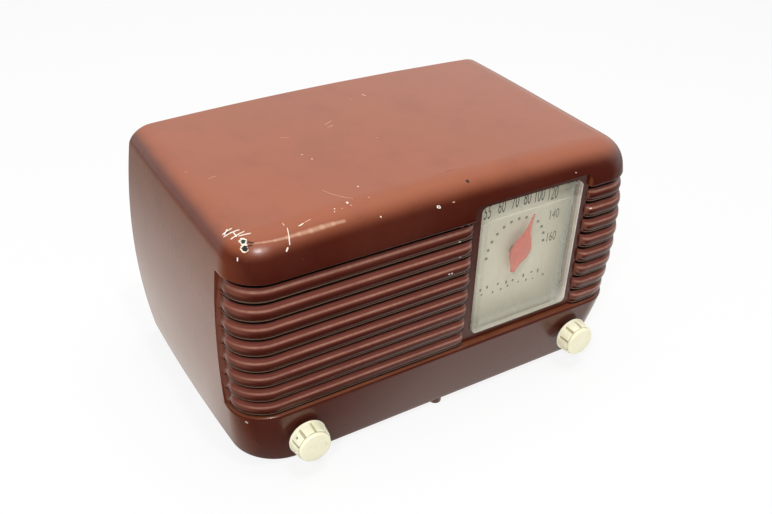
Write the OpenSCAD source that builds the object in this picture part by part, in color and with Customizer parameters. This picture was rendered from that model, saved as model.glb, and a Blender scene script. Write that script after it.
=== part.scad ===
// Table radio with a ribbed moulded cabinet, a clear dial window, two knobs
// and a five-valve chassis. Millimetres, +Z up, the front faces -Y and +X is
// to the right as seen from the front. The origin is on the table, below the
// middle of the whole radio.

/* [Cabinet] */
// Width across the bowed sides
case_w = 272.5; // [262:0.5:280]
// Height of the moulding above its bottom rim
case_h = 149.9; // [147:0.1:153]
// Depth from the bottom edge of the front to the open back
case_d = 155.8; // [150:0.1:162]
// How far the front swells forward of its bottom edge
front_swell = 7.5; // [6:0.1:9]
// Wall thickness of the sides and top
wall = 3.6; // [3:0.1:4.5]
// Thickness of the bottom
floor_t = 3.5; // [3:0.1:4.5]
// Rounding where the top meets the sides
round_side = 15; // [13:0.5:18]
// Rounding where the top meets the front
round_front = 24; // [22:0.5:26]
// Plan rounding of the two front corners
corner_r = 22; // [21:0.5:24]
// How much rounder these corners are at the foot than above the sill
corner_flare = 5; // [4:0.5:6]
// Height of the rubber feet and the moulded nib
foot_h = 3.4; // [3:0.1:5]

/* [Grille] */
// Ribs across the front
rib_count = 8; // [7:1:8]
// Spacing of the ribs
rib_pitch = 10.75; // [10.4:0.05:10.8]
// Height of the lowest groove
rib_z0 = 41.5; // [41:0.1:42.5]
// Height between the bulges of two ribs
groove_h = 2.8; // [2.2:0.1:3.4]
// Height of the open slots between the ribs
slot_h = 1.5; // [1.2:0.1:2]
// How far the rib crests lie inside the cabinet's swell
crest_in = 1.3; // [1:0.1:2]
// How far the ribs' flat edges lie inside the cabinet's swell
edge_in = 2.4; // [2:0.1:3]
// Recess of the ribbed band where it ends on each side
side_recess = 3.2; // [2.5:0.1:3.6]

/* [Dial] */
// Middle of the dial window, right of the cabinet's middle
dial_x = 53.6; // [52:0.1:55]
// Height of the middle of the dial window
dial_z = 89.7; // [88:0.1:91]
// Width of the dial window
window_w = 72.4; // [70:0.1:74]
// Height of the dial window
window_h = 87.4; // [85:0.1:88]
// Plain margin on each side of the window
margin_w = 5.8; // [5:0.1:6.5]
// Length of the pointer from its pivot to its tip
pointer_l = 26.3; // [24:0.1:28]
// Resting angle of the pointer above the horizontal
pointer_rest = 72.7; // [30:0.1:150]
// Radius of the ring of dots on the dial plate
dot_ring_r = 21.7; // [20:0.1:23]

/* [Knobs] */
// Distance of each knob from the cabinet's middle
knob_x = 96.3; // [94:0.1:98]
// Height of the knobs
knob_z = 20.2; // [19:0.1:22]
// Diameter of a knob's skirt
knob_d = 23; // [21:0.5:24]
// Length of a knob
knob_l = 10.6; // [9:0.1:12]
// Raised pads round a knob
pad_count = 9; // [8:1:12]
// Diameter of the control shafts
shaft_d = 6.35; // [6:0.01:6.4]

/* [Chassis] */
// Width of the chassis pan
pan_w = 228; // [220:1:232]
// Depth of the chassis pan
pan_d = 114; // [110:1:116]
// Height of the chassis deck above the cabinet's bottom
deck_z = 36; // [35:0.5:37]
// Thickness of the chassis sheet
sheet_t = 1.2; // [1:0.1:1.6]
// Diameter of a valve's glass
valve_d = 29; // [27:0.5:30]
// Height of a valve above the deck
valve_h = 78; // [70:1:82]
// Spacing of the valves
valve_pitch = 46; // [44:1:47]

/* [Loudspeaker] */
// Diameter of the loudspeaker
speaker_d = 100; // [94:1:100]
// Middle of the loudspeaker, left of the cabinet's middle
speaker_x = -50; // [-51:0.5:-49]
// Height of the middle of the loudspeaker
speaker_z = 85; // [84:0.5:87]
// Depth of the loudspeaker behind its flange
speaker_depth = 43; // [40:1:46]

/* [Tuning drive] */
// Radius of the drum under the dial cord
drum_r = 28.5; // [27:0.1:29]
// Radius of the tuning spindle under the dial cord
spindle_r = 2.4; // [2.3:0.05:2.5]
// Diameter of the dial cord
cord_d = 1; // [0.8:0.1:1.2]
// Turns of the dial cord round the spindle
cord_turns = 2; // [2:1:3]

/* [Hidden] */
$fn = 64;

// Colours, as the photograph shows them
paint_c = [0.45, 0.17, 0.11];
ivory_c = [0.93, 0.9, 0.78];
dial_c = [0.86, 0.84, 0.74];
clear_c = [0.88, 0.9, 0.86, 0.4];
red_c = [0.85, 0.33, 0.3];
steel_c = [0.68, 0.69, 0.7];
brass_c = [0.75, 0.6, 0.33];
board_c = [0.42, 0.3, 0.2];
black_c = [0.12, 0.12, 0.12];

// Small gaps: between fixed pieces, between moving pieces, and round a shaft
fit_gap = 0.2;
move_gap = 0.4;
run_gap = 0.05;

// Bows of the sides, the front, the plan and the top, in millimetres of
// inset per square millimetre, and the heights and depth of their middles
side_bow = 0.0013;
side_bow_z = 75;
front_bow = 0.0012;
front_bow_z = 80;
plan_bow = 0.00034;
plan_bow_y = 100;
// Height at which the plan bow of the front half has run out
plan_fade_z = 110;
crown = 0.00017;
// Lean of the wall where the top rounding starts, in degrees
lean = 7;

knob_back = -7.2;
knob_front = knob_back - knob_l;
case_back = case_d;
mid_y = (knob_front + case_back) / 2;

// The ribbed band: its sill, its brow, and the plane of the plain margins
sill_z = 38.3;
sill_top = rib_z0 - groove_h / 2;
brow_z = rib_z0 + rib_count * rib_pitch + groove_h / 2 - 0.9;
margin_y = -1.2;
inner_y = 2.4;
band_share = 0.022;
rib_end = 7;
margin_l = dial_x - window_w / 2 - margin_w;
margin_r = dial_x + window_w / 2 + margin_w;
window_z0 = dial_z - window_h / 2;
window_top = dial_z + window_h / 2;
window_r = 5;
notch_top = 136.4;

// Shape of a shell: side inset, front depth, front bow, top height,
// top rounding at the sides and front, corner rounding, back, 1 for ribs, and
// how much rounder the corners are at the foot. The cavity's corners take more,
// since the front leans back there while the cavity's front is upright.
outer = [0, -front_swell, front_bow, case_h, round_side, round_front, corner_r, case_d, 1,
         corner_flare];
inner = [wall, inner_y, 0, case_h - wall - 0.3, round_side - wall,
         round_front - wall - 3.4, corner_r - 8, case_d + 1, 0, 2 * corner_flare];

function plan_in(y, z) =
  plan_bow * pow(y - plan_bow_y, 2) * (y > plan_bow_y ? 1 : max(0, 1 - z / plan_fade_z));
function half_w(y, z) = case_w / 2 - side_bow * pow(z - side_bow_z, 2) - plan_in(y, z);
function front_at(sh, z) = sh[1] + sh[2] * pow(z - front_bow_z, 2);
function mix(a, b, t) = a + (b - a) * t;
function clamp01(t) = min(1, max(0, t));

// How far a rib bulges: 0 at its edges, 1 on its crest, less where it hasn't
// grown to its full size. A level is [height, arc angle, kind, place], with
// kind 0 for a slot, 1 for a rib, and place from 0 to 1 across the rib.
function bulge(place, grown) = sqrt(max(0, grown * grown - pow(2 * place - 1, 2)));
function growth(t) = sqrt(1 - pow(1 - clamp01(t), 2));

// Depth of the plain margin below the cabinet's swell, at turn phi
function margin_in(z, phi) =
  mix(side_recess, margin_y - front_at(outer, z), pow(sin(phi), 2));

// Inset of the ribbed surface. A station is [side, turn, share of the way
// back, x on the front, in the band, rib growth, slot depth].
function rib_in(st, lev, phi) =
  let (base = margin_in(lev[0], phi), edge = mix(base, min(base, edge_in), st[5]))
  st[4] * (lev[2] == 0 ? base + st[6]
         : lev[2] == 1 ? mix(edge, crest_in, bulge(lev[3], st[5]))
         : lev[3] * base);

function shell_point(sh, st, lev) =
  let (phi = st[1],
       r_top = mix(sh[4], sh[5], pow(sin(phi), 2)),
       z0 = sh[3] - r_top * (1 - sin(lean)),
       arc = lev[1] > 0,
       z = arc ? z0 + r_top * (sin(lev[1]) - sin(lean)) : lev[0],
       z_wall = arc ? z0 : z,
       in = arc ? r_top * (cos(lean) - cos(lev[1])) : sh[8] * rib_in(st, lev, phi),
       corner = sh[6] + sh[9] * max(0, 1 - z / sill_z) - (arc ? in / 2 : 0),
       y_f = front_at(sh, z_wall) + (arc ? in : 0),
       y_c = y_f + corner * (1 - sin(phi)),
       y = mix(y_c, sh[7], st[2]),
       x_e = half_w(y, z_wall) - sh[0] - (arc ? in : 0),
       x_c = x_e - corner * (1 - cos(phi)),
       reach = half_w(y_f, z_wall) - sh[0] - (arc ? in : 0) - corner,
       x = st[0] == 0 ? st[3] * min(1, reach / (case_w / 2 - corner_r - 5)) : st[0] * x_c,
       nx = st[0] == 0 ? 0 : -st[0] * cos(phi),
       ny = sin(phi),
       push = arc ? 0 : in,
       up = clamp01((z - z0) / (sh[3] - z0)))
  [x + nx * push, y + ny * push, z - crown * x * x * up];

// Stations round the plan from the left side of the back to the right side.
// The slots are open on the left and blind on the right.
slot_in = inner_y - margin_y + 0.6;
blind_in = 1.3;
side_run = [for (b = [1, 0.66, 0.33]) [1, 0, b, 0, 0, 0, 0]];
function corner_run(slot) = [
  [1, 0, band_share, 0, 0, 0, 0],
  [1, 0, 0, 0, 0.68, 0, 0],
  [1, 5, 0, 0, 1, growth(0.55), 0],
  [1, 12, 0, 0, 1, 1, blind_in],
  for (phi = [28, 43, 58, 74, 90]) [1, phi, 0, 0, 1, 1, slot]
];
function on_side(run, sx) = [for (s = run) [sx, s[1], s[2], s[3], s[4], s[5], s[6]]];
function turned(run) = [for (i = [len(run) - 1 : -1 : 0]) run[i]];
function front_station(x, end, slot) = [0, 90, 0, x, 1, growth(end / rib_end), slot];
front_run = [
  front_station(-98, rib_end, slot_in),
  front_station(margin_l - rib_end, rib_end, slot_in),
  front_station(margin_l - 3.2, 3.2, slot_in),
  front_station(margin_l - 0.9, 0.9, 0.6),
  front_station(margin_l, 0, 0),
  front_station(margin_r, 0, 0),
  front_station(margin_r + 0.9, 0.9, 0.6),
  front_station(margin_r + 3.2, 3.2, blind_in),
  front_station(margin_r + rib_end, rib_end, blind_in)
];
left_run = concat(side_run, corner_run(slot_in));
right_run = concat(side_run, corner_run(blind_in));
stations = concat(on_side(left_run, -1), front_run, turned(on_side(right_run, 1)));

// Levels up the outside: lower panel, sill, grooves and ribs, brow, rounding
arc_steps = 8;
arcs = [for (i = [0 : arc_steps]) [0, mix(lean, 90, i / arc_steps), 2, 0]];
rib_steps = [0, 0.14, 0.42, 0.78, 1];
step_h = 0.06;
outer_levels = [
  for (z = [0, 12, 24, sill_z]) [z, 0, 2, 0],
  [sill_z + 0.9, 0, 2, 0.12],
  [sill_top - 0.2, 0, 2, 0.6],
  [sill_top, 0, 2, 1],
  for (k = [0 : rib_count - 1])
    let (zg = rib_z0 + k * rib_pitch, low = zg + groove_h / 2,
         high = zg + rib_pitch - slot_h / 2 - step_h)
    each [
      [zg - slot_h / 2, 0, 0, 0],
      [zg + slot_h / 2, 0, 0, 0],
      [zg + slot_h / 2 + step_h, 0, 1, 0],
      for (t = rib_steps) [mix(low, high, t), 0, 1, t]
    ],
  [rib_z0 + rib_count * rib_pitch - slot_h / 2, 0, 0, 0],
  [brow_z - 0.1, 0, 0, 0],
  [brow_z, 0, 2, 0.3],
  [brow_z + 0.5, 0, 2, 0],
  each arcs
];
inner_levels = [
  for (z = [floor_t, 40, 80, 120]) [z, 0, 2, 0],
  each arcs
];

// A solid through rings of points, one ring a level, closed flat below and
// across the crowned top. Rows of the top run between mirrored stations.
module shell(sh, levels) {
  n = len(stations);
  half = len(left_run);
  cols = len(front_run);
  rings = [for (lev = levels) [for (st = stations) shell_point(sh, st, lev)]];
  top = rings[len(rings) - 1];
  end_x = abs(top[half - 1][0]);
  rows = [for (i = [0 : half - 2]) [for (j = [0 : cols - 1])
    let (x = abs(top[i][0]) * top[half + j][0] / end_x)
    [x, top[i][1], sh[3] - crown * x * x]]];
  ring_points = [for (r = rings) each r];
  points = concat(ring_points, [for (r = rows) each r]);
  last = (len(rings) - 1) * n;
  first_row = len(ring_points);
  function cell(i, j) =
    j < 0 ? last + i
    : j >= cols ? last + n - 1 - i
    : i < half - 1 ? first_row + i * cols + j
    : last + half + j;
  walls = [for (k = [0 : len(rings) - 2], i = [0 : n - 2])
    let (a = k * n + i, b = a + 1, c = a + n, d = b + n)
    each [[a, c, b], [b, c, d]]];
  back = [for (k = [0 : len(rings) - 3])
    let (a = k * n + n - 1, b = k * n, c = a + n, d = b + n)
    each [[a, c, b], [b, c, d]]];
  below = [[for (i = [0 : n - 1]) i]];
  back_top = [[last - 1, last + n - 1,
    for (j = [cols - 1 : -1 : 0]) cell(0, j), last, last - n]];
  cap = [for (i = [0 : half - 2], j = [-1 : cols - 1])
    let (a = cell(i, j), b = cell(i, j + 1), c = cell(i + 1, j), d = cell(i + 1, j + 1))
    each [[a, b, c], [b, d, c]]];
  polyhedron(points, concat(walls, back, below, back_top, cap), convexity = 10);
}

// Everything is drawn with the bottom rim at height 0 and the front's bottom
// edge at depth 0, and moved onto the part's own frame here
module placed() translate([0, -mid_y, foot_h]) children();

// A rod along the depth, a ring along it, and a plate facing the front
module y_rod(x, z, y0, y1, r) translate([x, y0, z]) rotate([-90, 0, 0]) cylinder(h = y1 - y0, r = r);

module y_ring(x, z, y0, y1, r, bore) difference() {
  y_rod(x, z, y0, y1, r);
  y_rod(x, z, y0 - 1, y1 + 1, bore);
}

module y_plate(x, z, w, h, y0, y1, r) translate([x, y1, z]) rotate([90, 0, 0])
  linear_extrude(y1 - y0) rounded(w, h, r);

module rounded(w, h, r) {
  square([w - 2 * r, h], center = true);
  square([w, h - 2 * r], center = true);
  for (sx = [-1, 1], sz = [-1, 1]) translate([sx * (w / 2 - r), sz * (h / 2 - r)]) circle(r);
}

// A shape turned about a line along the depth, from [radius, depth] pairs
module y_turned(x, z, profile) translate([x, 0, z]) rotate([-90, 0, 0])
  rotate_extrude() polygon(profile);

module block(x0, x1, y0, y1, z0, z1) translate([x0, y0, z0]) cube([x1 - x0, y1 - y0, z1 - z0]);

// A tube with flat ends along a path that never runs along the depth
function unit(v) = v / norm(v);
module tube(path, r, sides) {
  n = len(path);
  points = [for (i = [0 : n - 1])
    let (t = unit(path[min(n - 1, i + 1)] - path[max(0, i - 1)]),
         a = unit(cross(t, [0, 1, 0])), b = cross(t, a))
    for (k = [0 : sides - 1])
      path[i] + r * (a * cos(k * 360 / sides) + b * sin(k * 360 / sides))];
  skin = [for (i = [0 : n - 2], k = [0 : sides - 1])
    let (p = i * sides + k, q = i * sides + (k + 1) % sides)
    each [[p, q, p + sides], [q, q + sides, p + sides]]];
  start = [[for (k = [sides - 1 : -1 : 0]) k]];
  end = [[for (k = [0 : sides - 1]) (n - 1) * sides + k]];
  polyhedron(points, concat(skin, start, end));
}

// Cabinet: one moulding with the ribs, the window and the open back
vent_len = 26;
vent_w = 4;
boss_x = 122;
boss_zs = [14, 134];
boss_r = 5.5;
boss_y = 136;
cover_y = case_d - 5.2;
pan_y0 = 24;
pan_y1 = pan_y0 + pan_d;
screw_x = 90;
screw_ys = [pan_y0 + 7, pan_y1 - 7];
screw_r = 2;
foot_x = 104;
foot_ys = [24, 134];

// Moulded pegs inside the front: for the window's clips and the baffle's
peg_r = 1.4;
lens_peg_x = window_w / 2 + 7.2;
lens_peg_zs = [60, 116];
baffle_pegs = [[-104, rib_z0 + 0.5 * rib_pitch], [-104, rib_z0 + 7.5 * rib_pitch],
               [2.2, rib_z0 + 0.5 * rib_pitch], [2.2, rib_z0 + 7.5 * rib_pitch]];

module vent(x, y) hull() for (s = [-1, 1])
  translate([x, y + s * (vent_len - vent_w) / 2, -1]) cylinder(h = floor_t + 2, d = vent_w, $fn = 16);

module cabinet() color(paint_c) placed() {
  difference() {
    shell(outer, outer_levels);
    shell(inner, inner_levels);
    y_plate(dial_x, dial_z, window_w + 0.6, window_h + 0.6, -20, inner_y + 3, window_r + 0.3, $fn = 32);
    y_plate(dial_x, (notch_top + dial_z) / 2, window_w + 2 * margin_w, notch_top - dial_z,
            -20, margin_y, window_r, $fn = 32);
    for (sx = [-1, 1]) y_rod(sx * knob_x, knob_z, -20, inner_y + 10, shaft_d / 2 + 1.8, $fn = 32);
    for (x = [-66 : 12 : 66]) vent(x, 84);
    for (sx = [-1, 1], y = screw_ys) translate([sx * screw_x, y, -1])
      cylinder(h = floor_t + 2, r = screw_r + 0.3, $fn = 24);
    for (sx = [-1, 1], z = boss_zs) y_rod(sx * boss_x, z, cover_y - 9, case_d, 1.6, $fn = 24);
  }
  for (x = [-66, -32]) block(x - 2, x + 2, inner_y - 2, inner_y + 0.1, sill_top, brow_z);
  for (sx = [-1, 1], z = lens_peg_zs)
    y_rod(dial_x + sx * lens_peg_x, z, inner_y - 0.3, inner_y + 4.2, peg_r, $fn = 24);
  for (p = baffle_pegs) y_rod(p[0], p[1], inner_y - 0.3, inner_y + 7.2, peg_r, $fn = 24);
  for (sx = [-1, 1], z = boss_zs) difference() {
    hull() {
      y_rod(sx * boss_x, z, boss_y, cover_y, boss_r, $fn = 24);
      y_rod(sx * (boss_x + 1.5), z, boss_y, cover_y, boss_r, $fn = 24);
    }
    y_rod(sx * boss_x, z, cover_y - 9, case_d, 1.6, $fn = 24);
  }
  hull() {
    translate([-1, 4, -foot_h]) cylinder(h = foot_h + 1, d = 8, $fn = 24);
    translate([-1, 9, -foot_h]) cylinder(h = foot_h + 1, d = 7, $fn = 24);
  }
}

// Dial window: a moulded clear pan with a dished face and a flange behind
lens_front = -3.2;
lens_dish = 2.4;
lens_t = 1.6;
lens_flange_y = inner_y + fit_gap;
lens_flange_t = 1.4;
lens_side_rim = 5.75;
lens_low_rim = 1.8;
lens_top_rim = 9.7;

module dial_lens() color(clear_c) placed() {
  dish_w = window_w - 2 * lens_side_rim;
  dish_h = window_h - lens_low_rim - lens_top_rim;
  dish_z = dial_z - (lens_top_rim - lens_low_rim) / 2;
  difference() {
    y_plate(dial_x, dial_z, window_w, window_h, lens_front, lens_flange_y + 0.1, window_r);
    hull() {
      y_plate(dial_x, dial_z, window_w - 1.6, window_h - 1.6, lens_front - 1, lens_front, window_r - 0.8, $fn = 32);
      y_plate(dial_x, dish_z, dish_w, dish_h, lens_front, lens_front + lens_dish, window_r, $fn = 32);
    }
    y_plate(dial_x, dial_z, window_w - 2 * lens_t, window_h - 2 * lens_t,
            lens_front + lens_dish + lens_t, inner_y + 9, window_r - lens_t);
  }
  difference() {
    y_plate(dial_x, dial_z - 3, window_w + 10, window_h - 4,
            lens_flange_y, lens_flange_y + lens_flange_t, window_r);
    y_plate(dial_x, dial_z, window_w - 2 * lens_t, window_h - 2 * lens_t,
            lens_flange_y - 1, lens_flange_y + lens_flange_t + 1, window_r - lens_t);
  }
}

// Push-on clips over the cabinet's pegs, holding the window's flange
clip_y = lens_flange_y + lens_flange_t;
clip_bore = peg_r + 0.05;
module lens_clips() color(steel_c) placed()
  for (sx = [-1, 1], z = lens_peg_zs) {
    x = dial_x + sx * lens_peg_x;
    difference() {
      union() {
        y_rod(x, z, clip_y, clip_y + 0.8, 3);
        block(min(x, x - sx * 6.4), max(x, x - sx * 6.4), clip_y, clip_y + 0.8, z - 3, z + 3);
      }
      y_rod(x, z, clip_y - 1, clip_y + 2, clip_bore);
    }
  }

// Dial plate, with the ring of dots, held by the posts of the dial bracket
plate_y = 8.8;
plate_t = 0.8;
plate_w = 83;
plate_h = 97;
dot_angles = [for (i = [0 : 12]) 180 - 15 * i];
module dial_plate() color(dial_c) placed() {
  difference() {
    y_plate(dial_x, dial_z - 1.5, plate_w, plate_h, plate_y, plate_y + plate_t, 3);
    y_rod(dial_x, dial_z, plate_y - 1, plate_y + 2, shaft_d / 2 + 1.2);
  }
  for (a = dot_angles)
    y_rod(dial_x + dot_ring_r * cos(a), dial_z + dot_ring_r * sin(a), plate_y - 0.15, plate_y + 0.1, 0.7, $fn = 16);
}

// Pointer: a leaf with a long thin tip, on a hub at the front of the gang shaft
pointer_y = 4;
pointer_t = 0.6;
pointer_tail = 13.2;
pointer_half_w = 8;
function leaf_side(s) = [
  [s * 0.5, pointer_l], [s * 1.1, pointer_l * 0.72], [s * 2.6, pointer_l * 0.52],
  [s * 5.2, pointer_l * 0.36], [s * 7.3, pointer_l * 0.2], [s * pointer_half_w, 2.4],
  [s * 7.6, -1.6], [s * 5.6, -5.2], [s * 3.2, -9], [s * 1.7, -pointer_tail]
];
module pointer() color(red_c) placed() {
  translate([dial_x, pointer_y + pointer_t, dial_z]) rotate([0, 90 - pointer_rest, 0])
    rotate([90, 0, 0]) linear_extrude(pointer_t) polygon(concat(leaf_side(1), turned(leaf_side(-1))));
  y_ring(dial_x, dial_z, pointer_y + pointer_t - 0.1, 7.6, 5, shaft_d / 2 + 0.02);
}

// Knobs: a smooth skirt, raised pads parted by narrow grooves, a flat face.
// Each is drawn as it stands in the photograph, turned a few degrees.
module knob(x, turn) {
  skirt_r = knob_d / 2;
  face_r = 8.5;
  difference() {
    y_turned(x, knob_z, [
      [shaft_d / 2 + 0.02, knob_back], [skirt_r - 0.4, knob_back], [skirt_r, knob_back - 0.5],
      [skirt_r - 0.1, knob_back - 2], [skirt_r - 0.7, knob_back - 2.4],
      [skirt_r - 1.6, knob_front + 1.8], [skirt_r - 2.1, knob_front + 0.8],
      [face_r, knob_front], [0, knob_front], [0, knob_front + 2], [shaft_d / 2 + 0.02, knob_front + 2]
    ]);
    for (i = [0 : pad_count - 1]) translate([x, 0, knob_z]) rotate([0, turn + i * 360 / pad_count, 0])
      block(-0.5, 0.5, knob_front + 1.2, knob_back - 2.3, skirt_r - 2.6, skirt_r + 2);
  }
}
module volume_knob() color(ivory_c) placed() knob(-knob_x, 7);
module tuning_knob() color(ivory_c) placed() knob(knob_x, 3);

// Control shafts
volume_end = pan_y0 + 9;
cord_y = 15.5;
spindle_half = 4;
tuning_end = pan_y0 + 12;
module volume_shaft() color(brass_c) placed()
  y_rod(-knob_x, knob_z, knob_front + 2.1, volume_end, shaft_d / 2);

module tuning_shaft() color(brass_c) placed() y_turned(knob_x, knob_z, [
  [0, knob_front + 2.1], [shaft_d / 2, knob_front + 2.1], [shaft_d / 2, cord_y - spindle_half],
  [spindle_r, cord_y - spindle_half], [spindle_r, cord_y + spindle_half],
  [shaft_d / 2, cord_y + spindle_half], [shaft_d / 2, tuning_end],
  [shaft_d / 2 + 1.6, tuning_end], [shaft_d / 2 + 1.6, tuning_end + 1], [0, tuning_end + 1]
]);

// Volume control with its threaded bush, and the power switch on its back
control_r = 12;
control_end = pan_y0 + sheet_t + 11;
module volume_control() color(black_c) placed() difference() {
  union() {
    y_rod(-knob_x, knob_z, pan_y0 - 6, pan_y0 + sheet_t + 1, 4.7);
    y_rod(-knob_x, knob_z, pan_y0 - 2.4, pan_y0, 7);
    y_rod(-knob_x, knob_z, pan_y0 + sheet_t, control_end, control_r);
  }
  y_rod(-knob_x, knob_z, pan_y0 - 7, volume_end + 0.5, shaft_d / 2 + run_gap);
}
module power_switch() color(steel_c) placed() {
  y_rod(-knob_x, knob_z, control_end, control_end + 9, 10);
  for (sx = [-1, 1]) block(-knob_x + sx * 5 - 1, -knob_x + sx * 5 + 1, control_end + 9, control_end + 14,
                           knob_z - 0.4, knob_z + 0.4);
}
module tuning_bushing() color(brass_c) placed() difference() {
  union() {
    y_rod(knob_x, knob_z, pan_y0 - 3, pan_y0 + 11.5, 4.7);
    y_rod(knob_x, knob_z, pan_y0 - 2.4, pan_y0, 6.6);
    y_rod(knob_x, knob_z, pan_y0 + sheet_t, pan_y0 + sheet_t + 2, 6.6);
  }
  y_rod(knob_x, knob_z, pan_y0 - 4, pan_y0 + 13, shaft_d / 2 + run_gap);
}

// Chassis: a folded pan with a deck, front and back aprons and foot flanges
valve_y = 114;
valve_xs = [for (i = [-2 : 2]) i * valve_pitch];
socket_r = 12.5;
flange_w = 12;
module chassis() color(steel_c) placed() difference() {
  union() {
    block(-pan_w / 2, pan_w / 2, pan_y0, pan_y1, deck_z - sheet_t, deck_z);
    block(-pan_w / 2, pan_w / 2, pan_y0, pan_y0 + sheet_t, floor_t, deck_z);
    block(-pan_w / 2, pan_w / 2, pan_y1 - sheet_t, pan_y1, floor_t, deck_z);
    for (sx = [-1, 1], y = screw_ys)
      block(sx * screw_x - 9, sx * screw_x + 9, y - 7, y + 7, floor_t, floor_t + sheet_t);
  }
  for (x = valve_xs) translate([x, valve_y, deck_z - 3]) cylinder(h = 6, r = socket_r + fit_gap);
  for (sx = [-1, 1]) y_rod(sx * knob_x, knob_z, pan_y0 - 1, pan_y0 + 3, 4.7 + fit_gap);
  for (sx = [-1, 1], y = screw_ys)
    translate([sx * screw_x, y, floor_t - 1]) cylinder(h = 4, r = screw_r + 0.3);
}

// Dial bracket: an upright panel with four posts that carry the dial plate
panel_y0 = pan_y0 - sheet_t;
post_r = 3;
post_at = [[dial_x - 35, dial_z - 44], [dial_x + 34.4, dial_z - 44],
           [dial_x - 35, dial_z + 40], [dial_x + 35, dial_z + 40]];
module dial_bracket() color(steel_c) placed() {
  difference() {
    block(dial_x - 39.6, dial_x + 39.4, panel_y0, pan_y0, 29, dial_z + 44);
    y_rod(dial_x, dial_z, panel_y0 - 1, pan_y0 + 1, 12);
  }
  for (p = post_at) y_rod(p[0], p[1], plate_y + plate_t, panel_y0, post_r);
}

// Tuning gang: frame, fixed plates, and the rotor on its shaft
gang_y0 = pan_y0;
gang_y1 = gang_y0 + 40;
gang_w = 44;
gang_z0 = dial_z - 22;
gang_z1 = dial_z + 8;
gang_plate_t = 2;
leaf_t = 0.8;
leaf_pitch = 2.8;
leaf_count = 6;
section_ys = [gang_y0 + 4.2, gang_y0 + 21.6];
rotor_r = 16;
stator_r = 18.5;
module gang_frame() color(steel_c) placed() difference() {
  union() {
    for (y = [gang_y0, gang_y1 - gang_plate_t])
      block(dial_x - gang_w / 2, dial_x + gang_w / 2, y, y + gang_plate_t, gang_z0, gang_z1);
    block(dial_x - gang_w / 2, dial_x + gang_w / 2, gang_y0, gang_y1, gang_z0, gang_z0 + 1.6);
  }
  y_rod(dial_x, dial_z, gang_y0 - 1, gang_y1 + 1, shaft_d / 2 + run_gap);
}

module half_disc(r, y, t, up) intersection() {
  y_rod(dial_x, dial_z, y, y + t, r);
  block(dial_x - r, dial_x + r, y, y + t, up > 0 ? dial_z : dial_z - r, up > 0 ? dial_z + r : dial_z);
}

module gang_stator() color(steel_c) placed() {
  for (y0 = section_ys, i = [0 : leaf_count - 2]) difference() {
    half_disc(stator_r, y0 + (i + 0.5) * leaf_pitch, leaf_t, -1);
    y_rod(dial_x, dial_z, gang_y0, gang_y1, 5.4);
  }
  for (y0 = section_ys, sx = [-1, 1])
    block(dial_x + sx * 17.6 - 1.3, dial_x + sx * 17.6 + 1.3, y0 + 0.9, y0 + (leaf_count - 1) * leaf_pitch,
          gang_z0 + 1.6, dial_z - 2);
}

// The rotor's half discs hang opposite the pointer's travel: turned in at the
// left end of the scale and out at the right
module gang_rotor() color(brass_c) placed() {
  y_rod(dial_x, dial_z, pointer_y + pointer_t + 0.05, gang_y1 + 3, shaft_d / 2);
  translate([dial_x, 0, dial_z]) rotate([0, 180 - pointer_rest, 0]) translate([-dial_x, 0, -dial_z]) {
    for (y0 = section_ys, i = [0 : leaf_count - 1]) half_disc(rotor_r, y0 + i * leaf_pitch, leaf_t, -1);
    for (y0 = section_ys) y_rod(dial_x, dial_z, y0 - 0.4, y0 + (leaf_count - 1) * leaf_pitch + 1, 4.4);
  }
}

module gang_support() color(steel_c) placed() {
  block(dial_x - 18, dial_x + 18, gang_y1 - 14, gang_y1 - 14 + sheet_t, deck_z, gang_z0);
  block(dial_x - 18, dial_x + 18, gang_y1 - 14, gang_y1 - 2, deck_z, deck_z + sheet_t);
  block(dial_x - 18, dial_x + 18, gang_y1 - 14, gang_y1 - 2, gang_z0 - sheet_t, gang_z0);
}

// Drive drum: a grooved rim, a web with two cut-outs, and a hub on the shaft
drum_y0 = cord_y - 2.6;
drum_y1 = cord_y + 2.6;
flange_r = drum_r + 1.6;
module drive_drum() color(ivory_c) placed() difference() {
  y_turned(dial_x, dial_z, [
    [shaft_d / 2 + 0.02, drum_y0 - 1], [7, drum_y0 - 1], [7, cord_y - 0.9], [drum_r - 3, cord_y - 0.9],
    [drum_r - 3, drum_y0], [flange_r, drum_y0], [flange_r, drum_y0 + 0.8], [drum_r, cord_y - 1],
    [drum_r, cord_y + 1], [flange_r, drum_y1 - 0.8], [flange_r, drum_y1], [drum_r - 3, drum_y1],
    [drum_r - 3, cord_y + 0.9], [7, cord_y + 0.9], [7, panel_y0 - 1], [shaft_d / 2 + 0.02, panel_y0 - 1]
  ]);
  for (a = [0, 180]) translate([dial_x, 0, dial_z]) rotate([0, a, 0])
    translate([16, cord_y - 4, 0]) rotate([-90, 0, 0]) cylinder(h = 8, r = 6.5);
}

// Tension spring of the dial cord, lying in one cut-out of the drum
spring_turns = 7;
module cord_spring() color(steel_c) placed() translate([dial_x + 16, cord_y, dial_z])
  tube([for (i = [0 : spring_turns * 8])
    [1.6 * cos(i * 45), 1.6 * sin(i * 45), (i / 8 / spring_turns - 0.5) * 11]], 0.3, 5);

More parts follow.
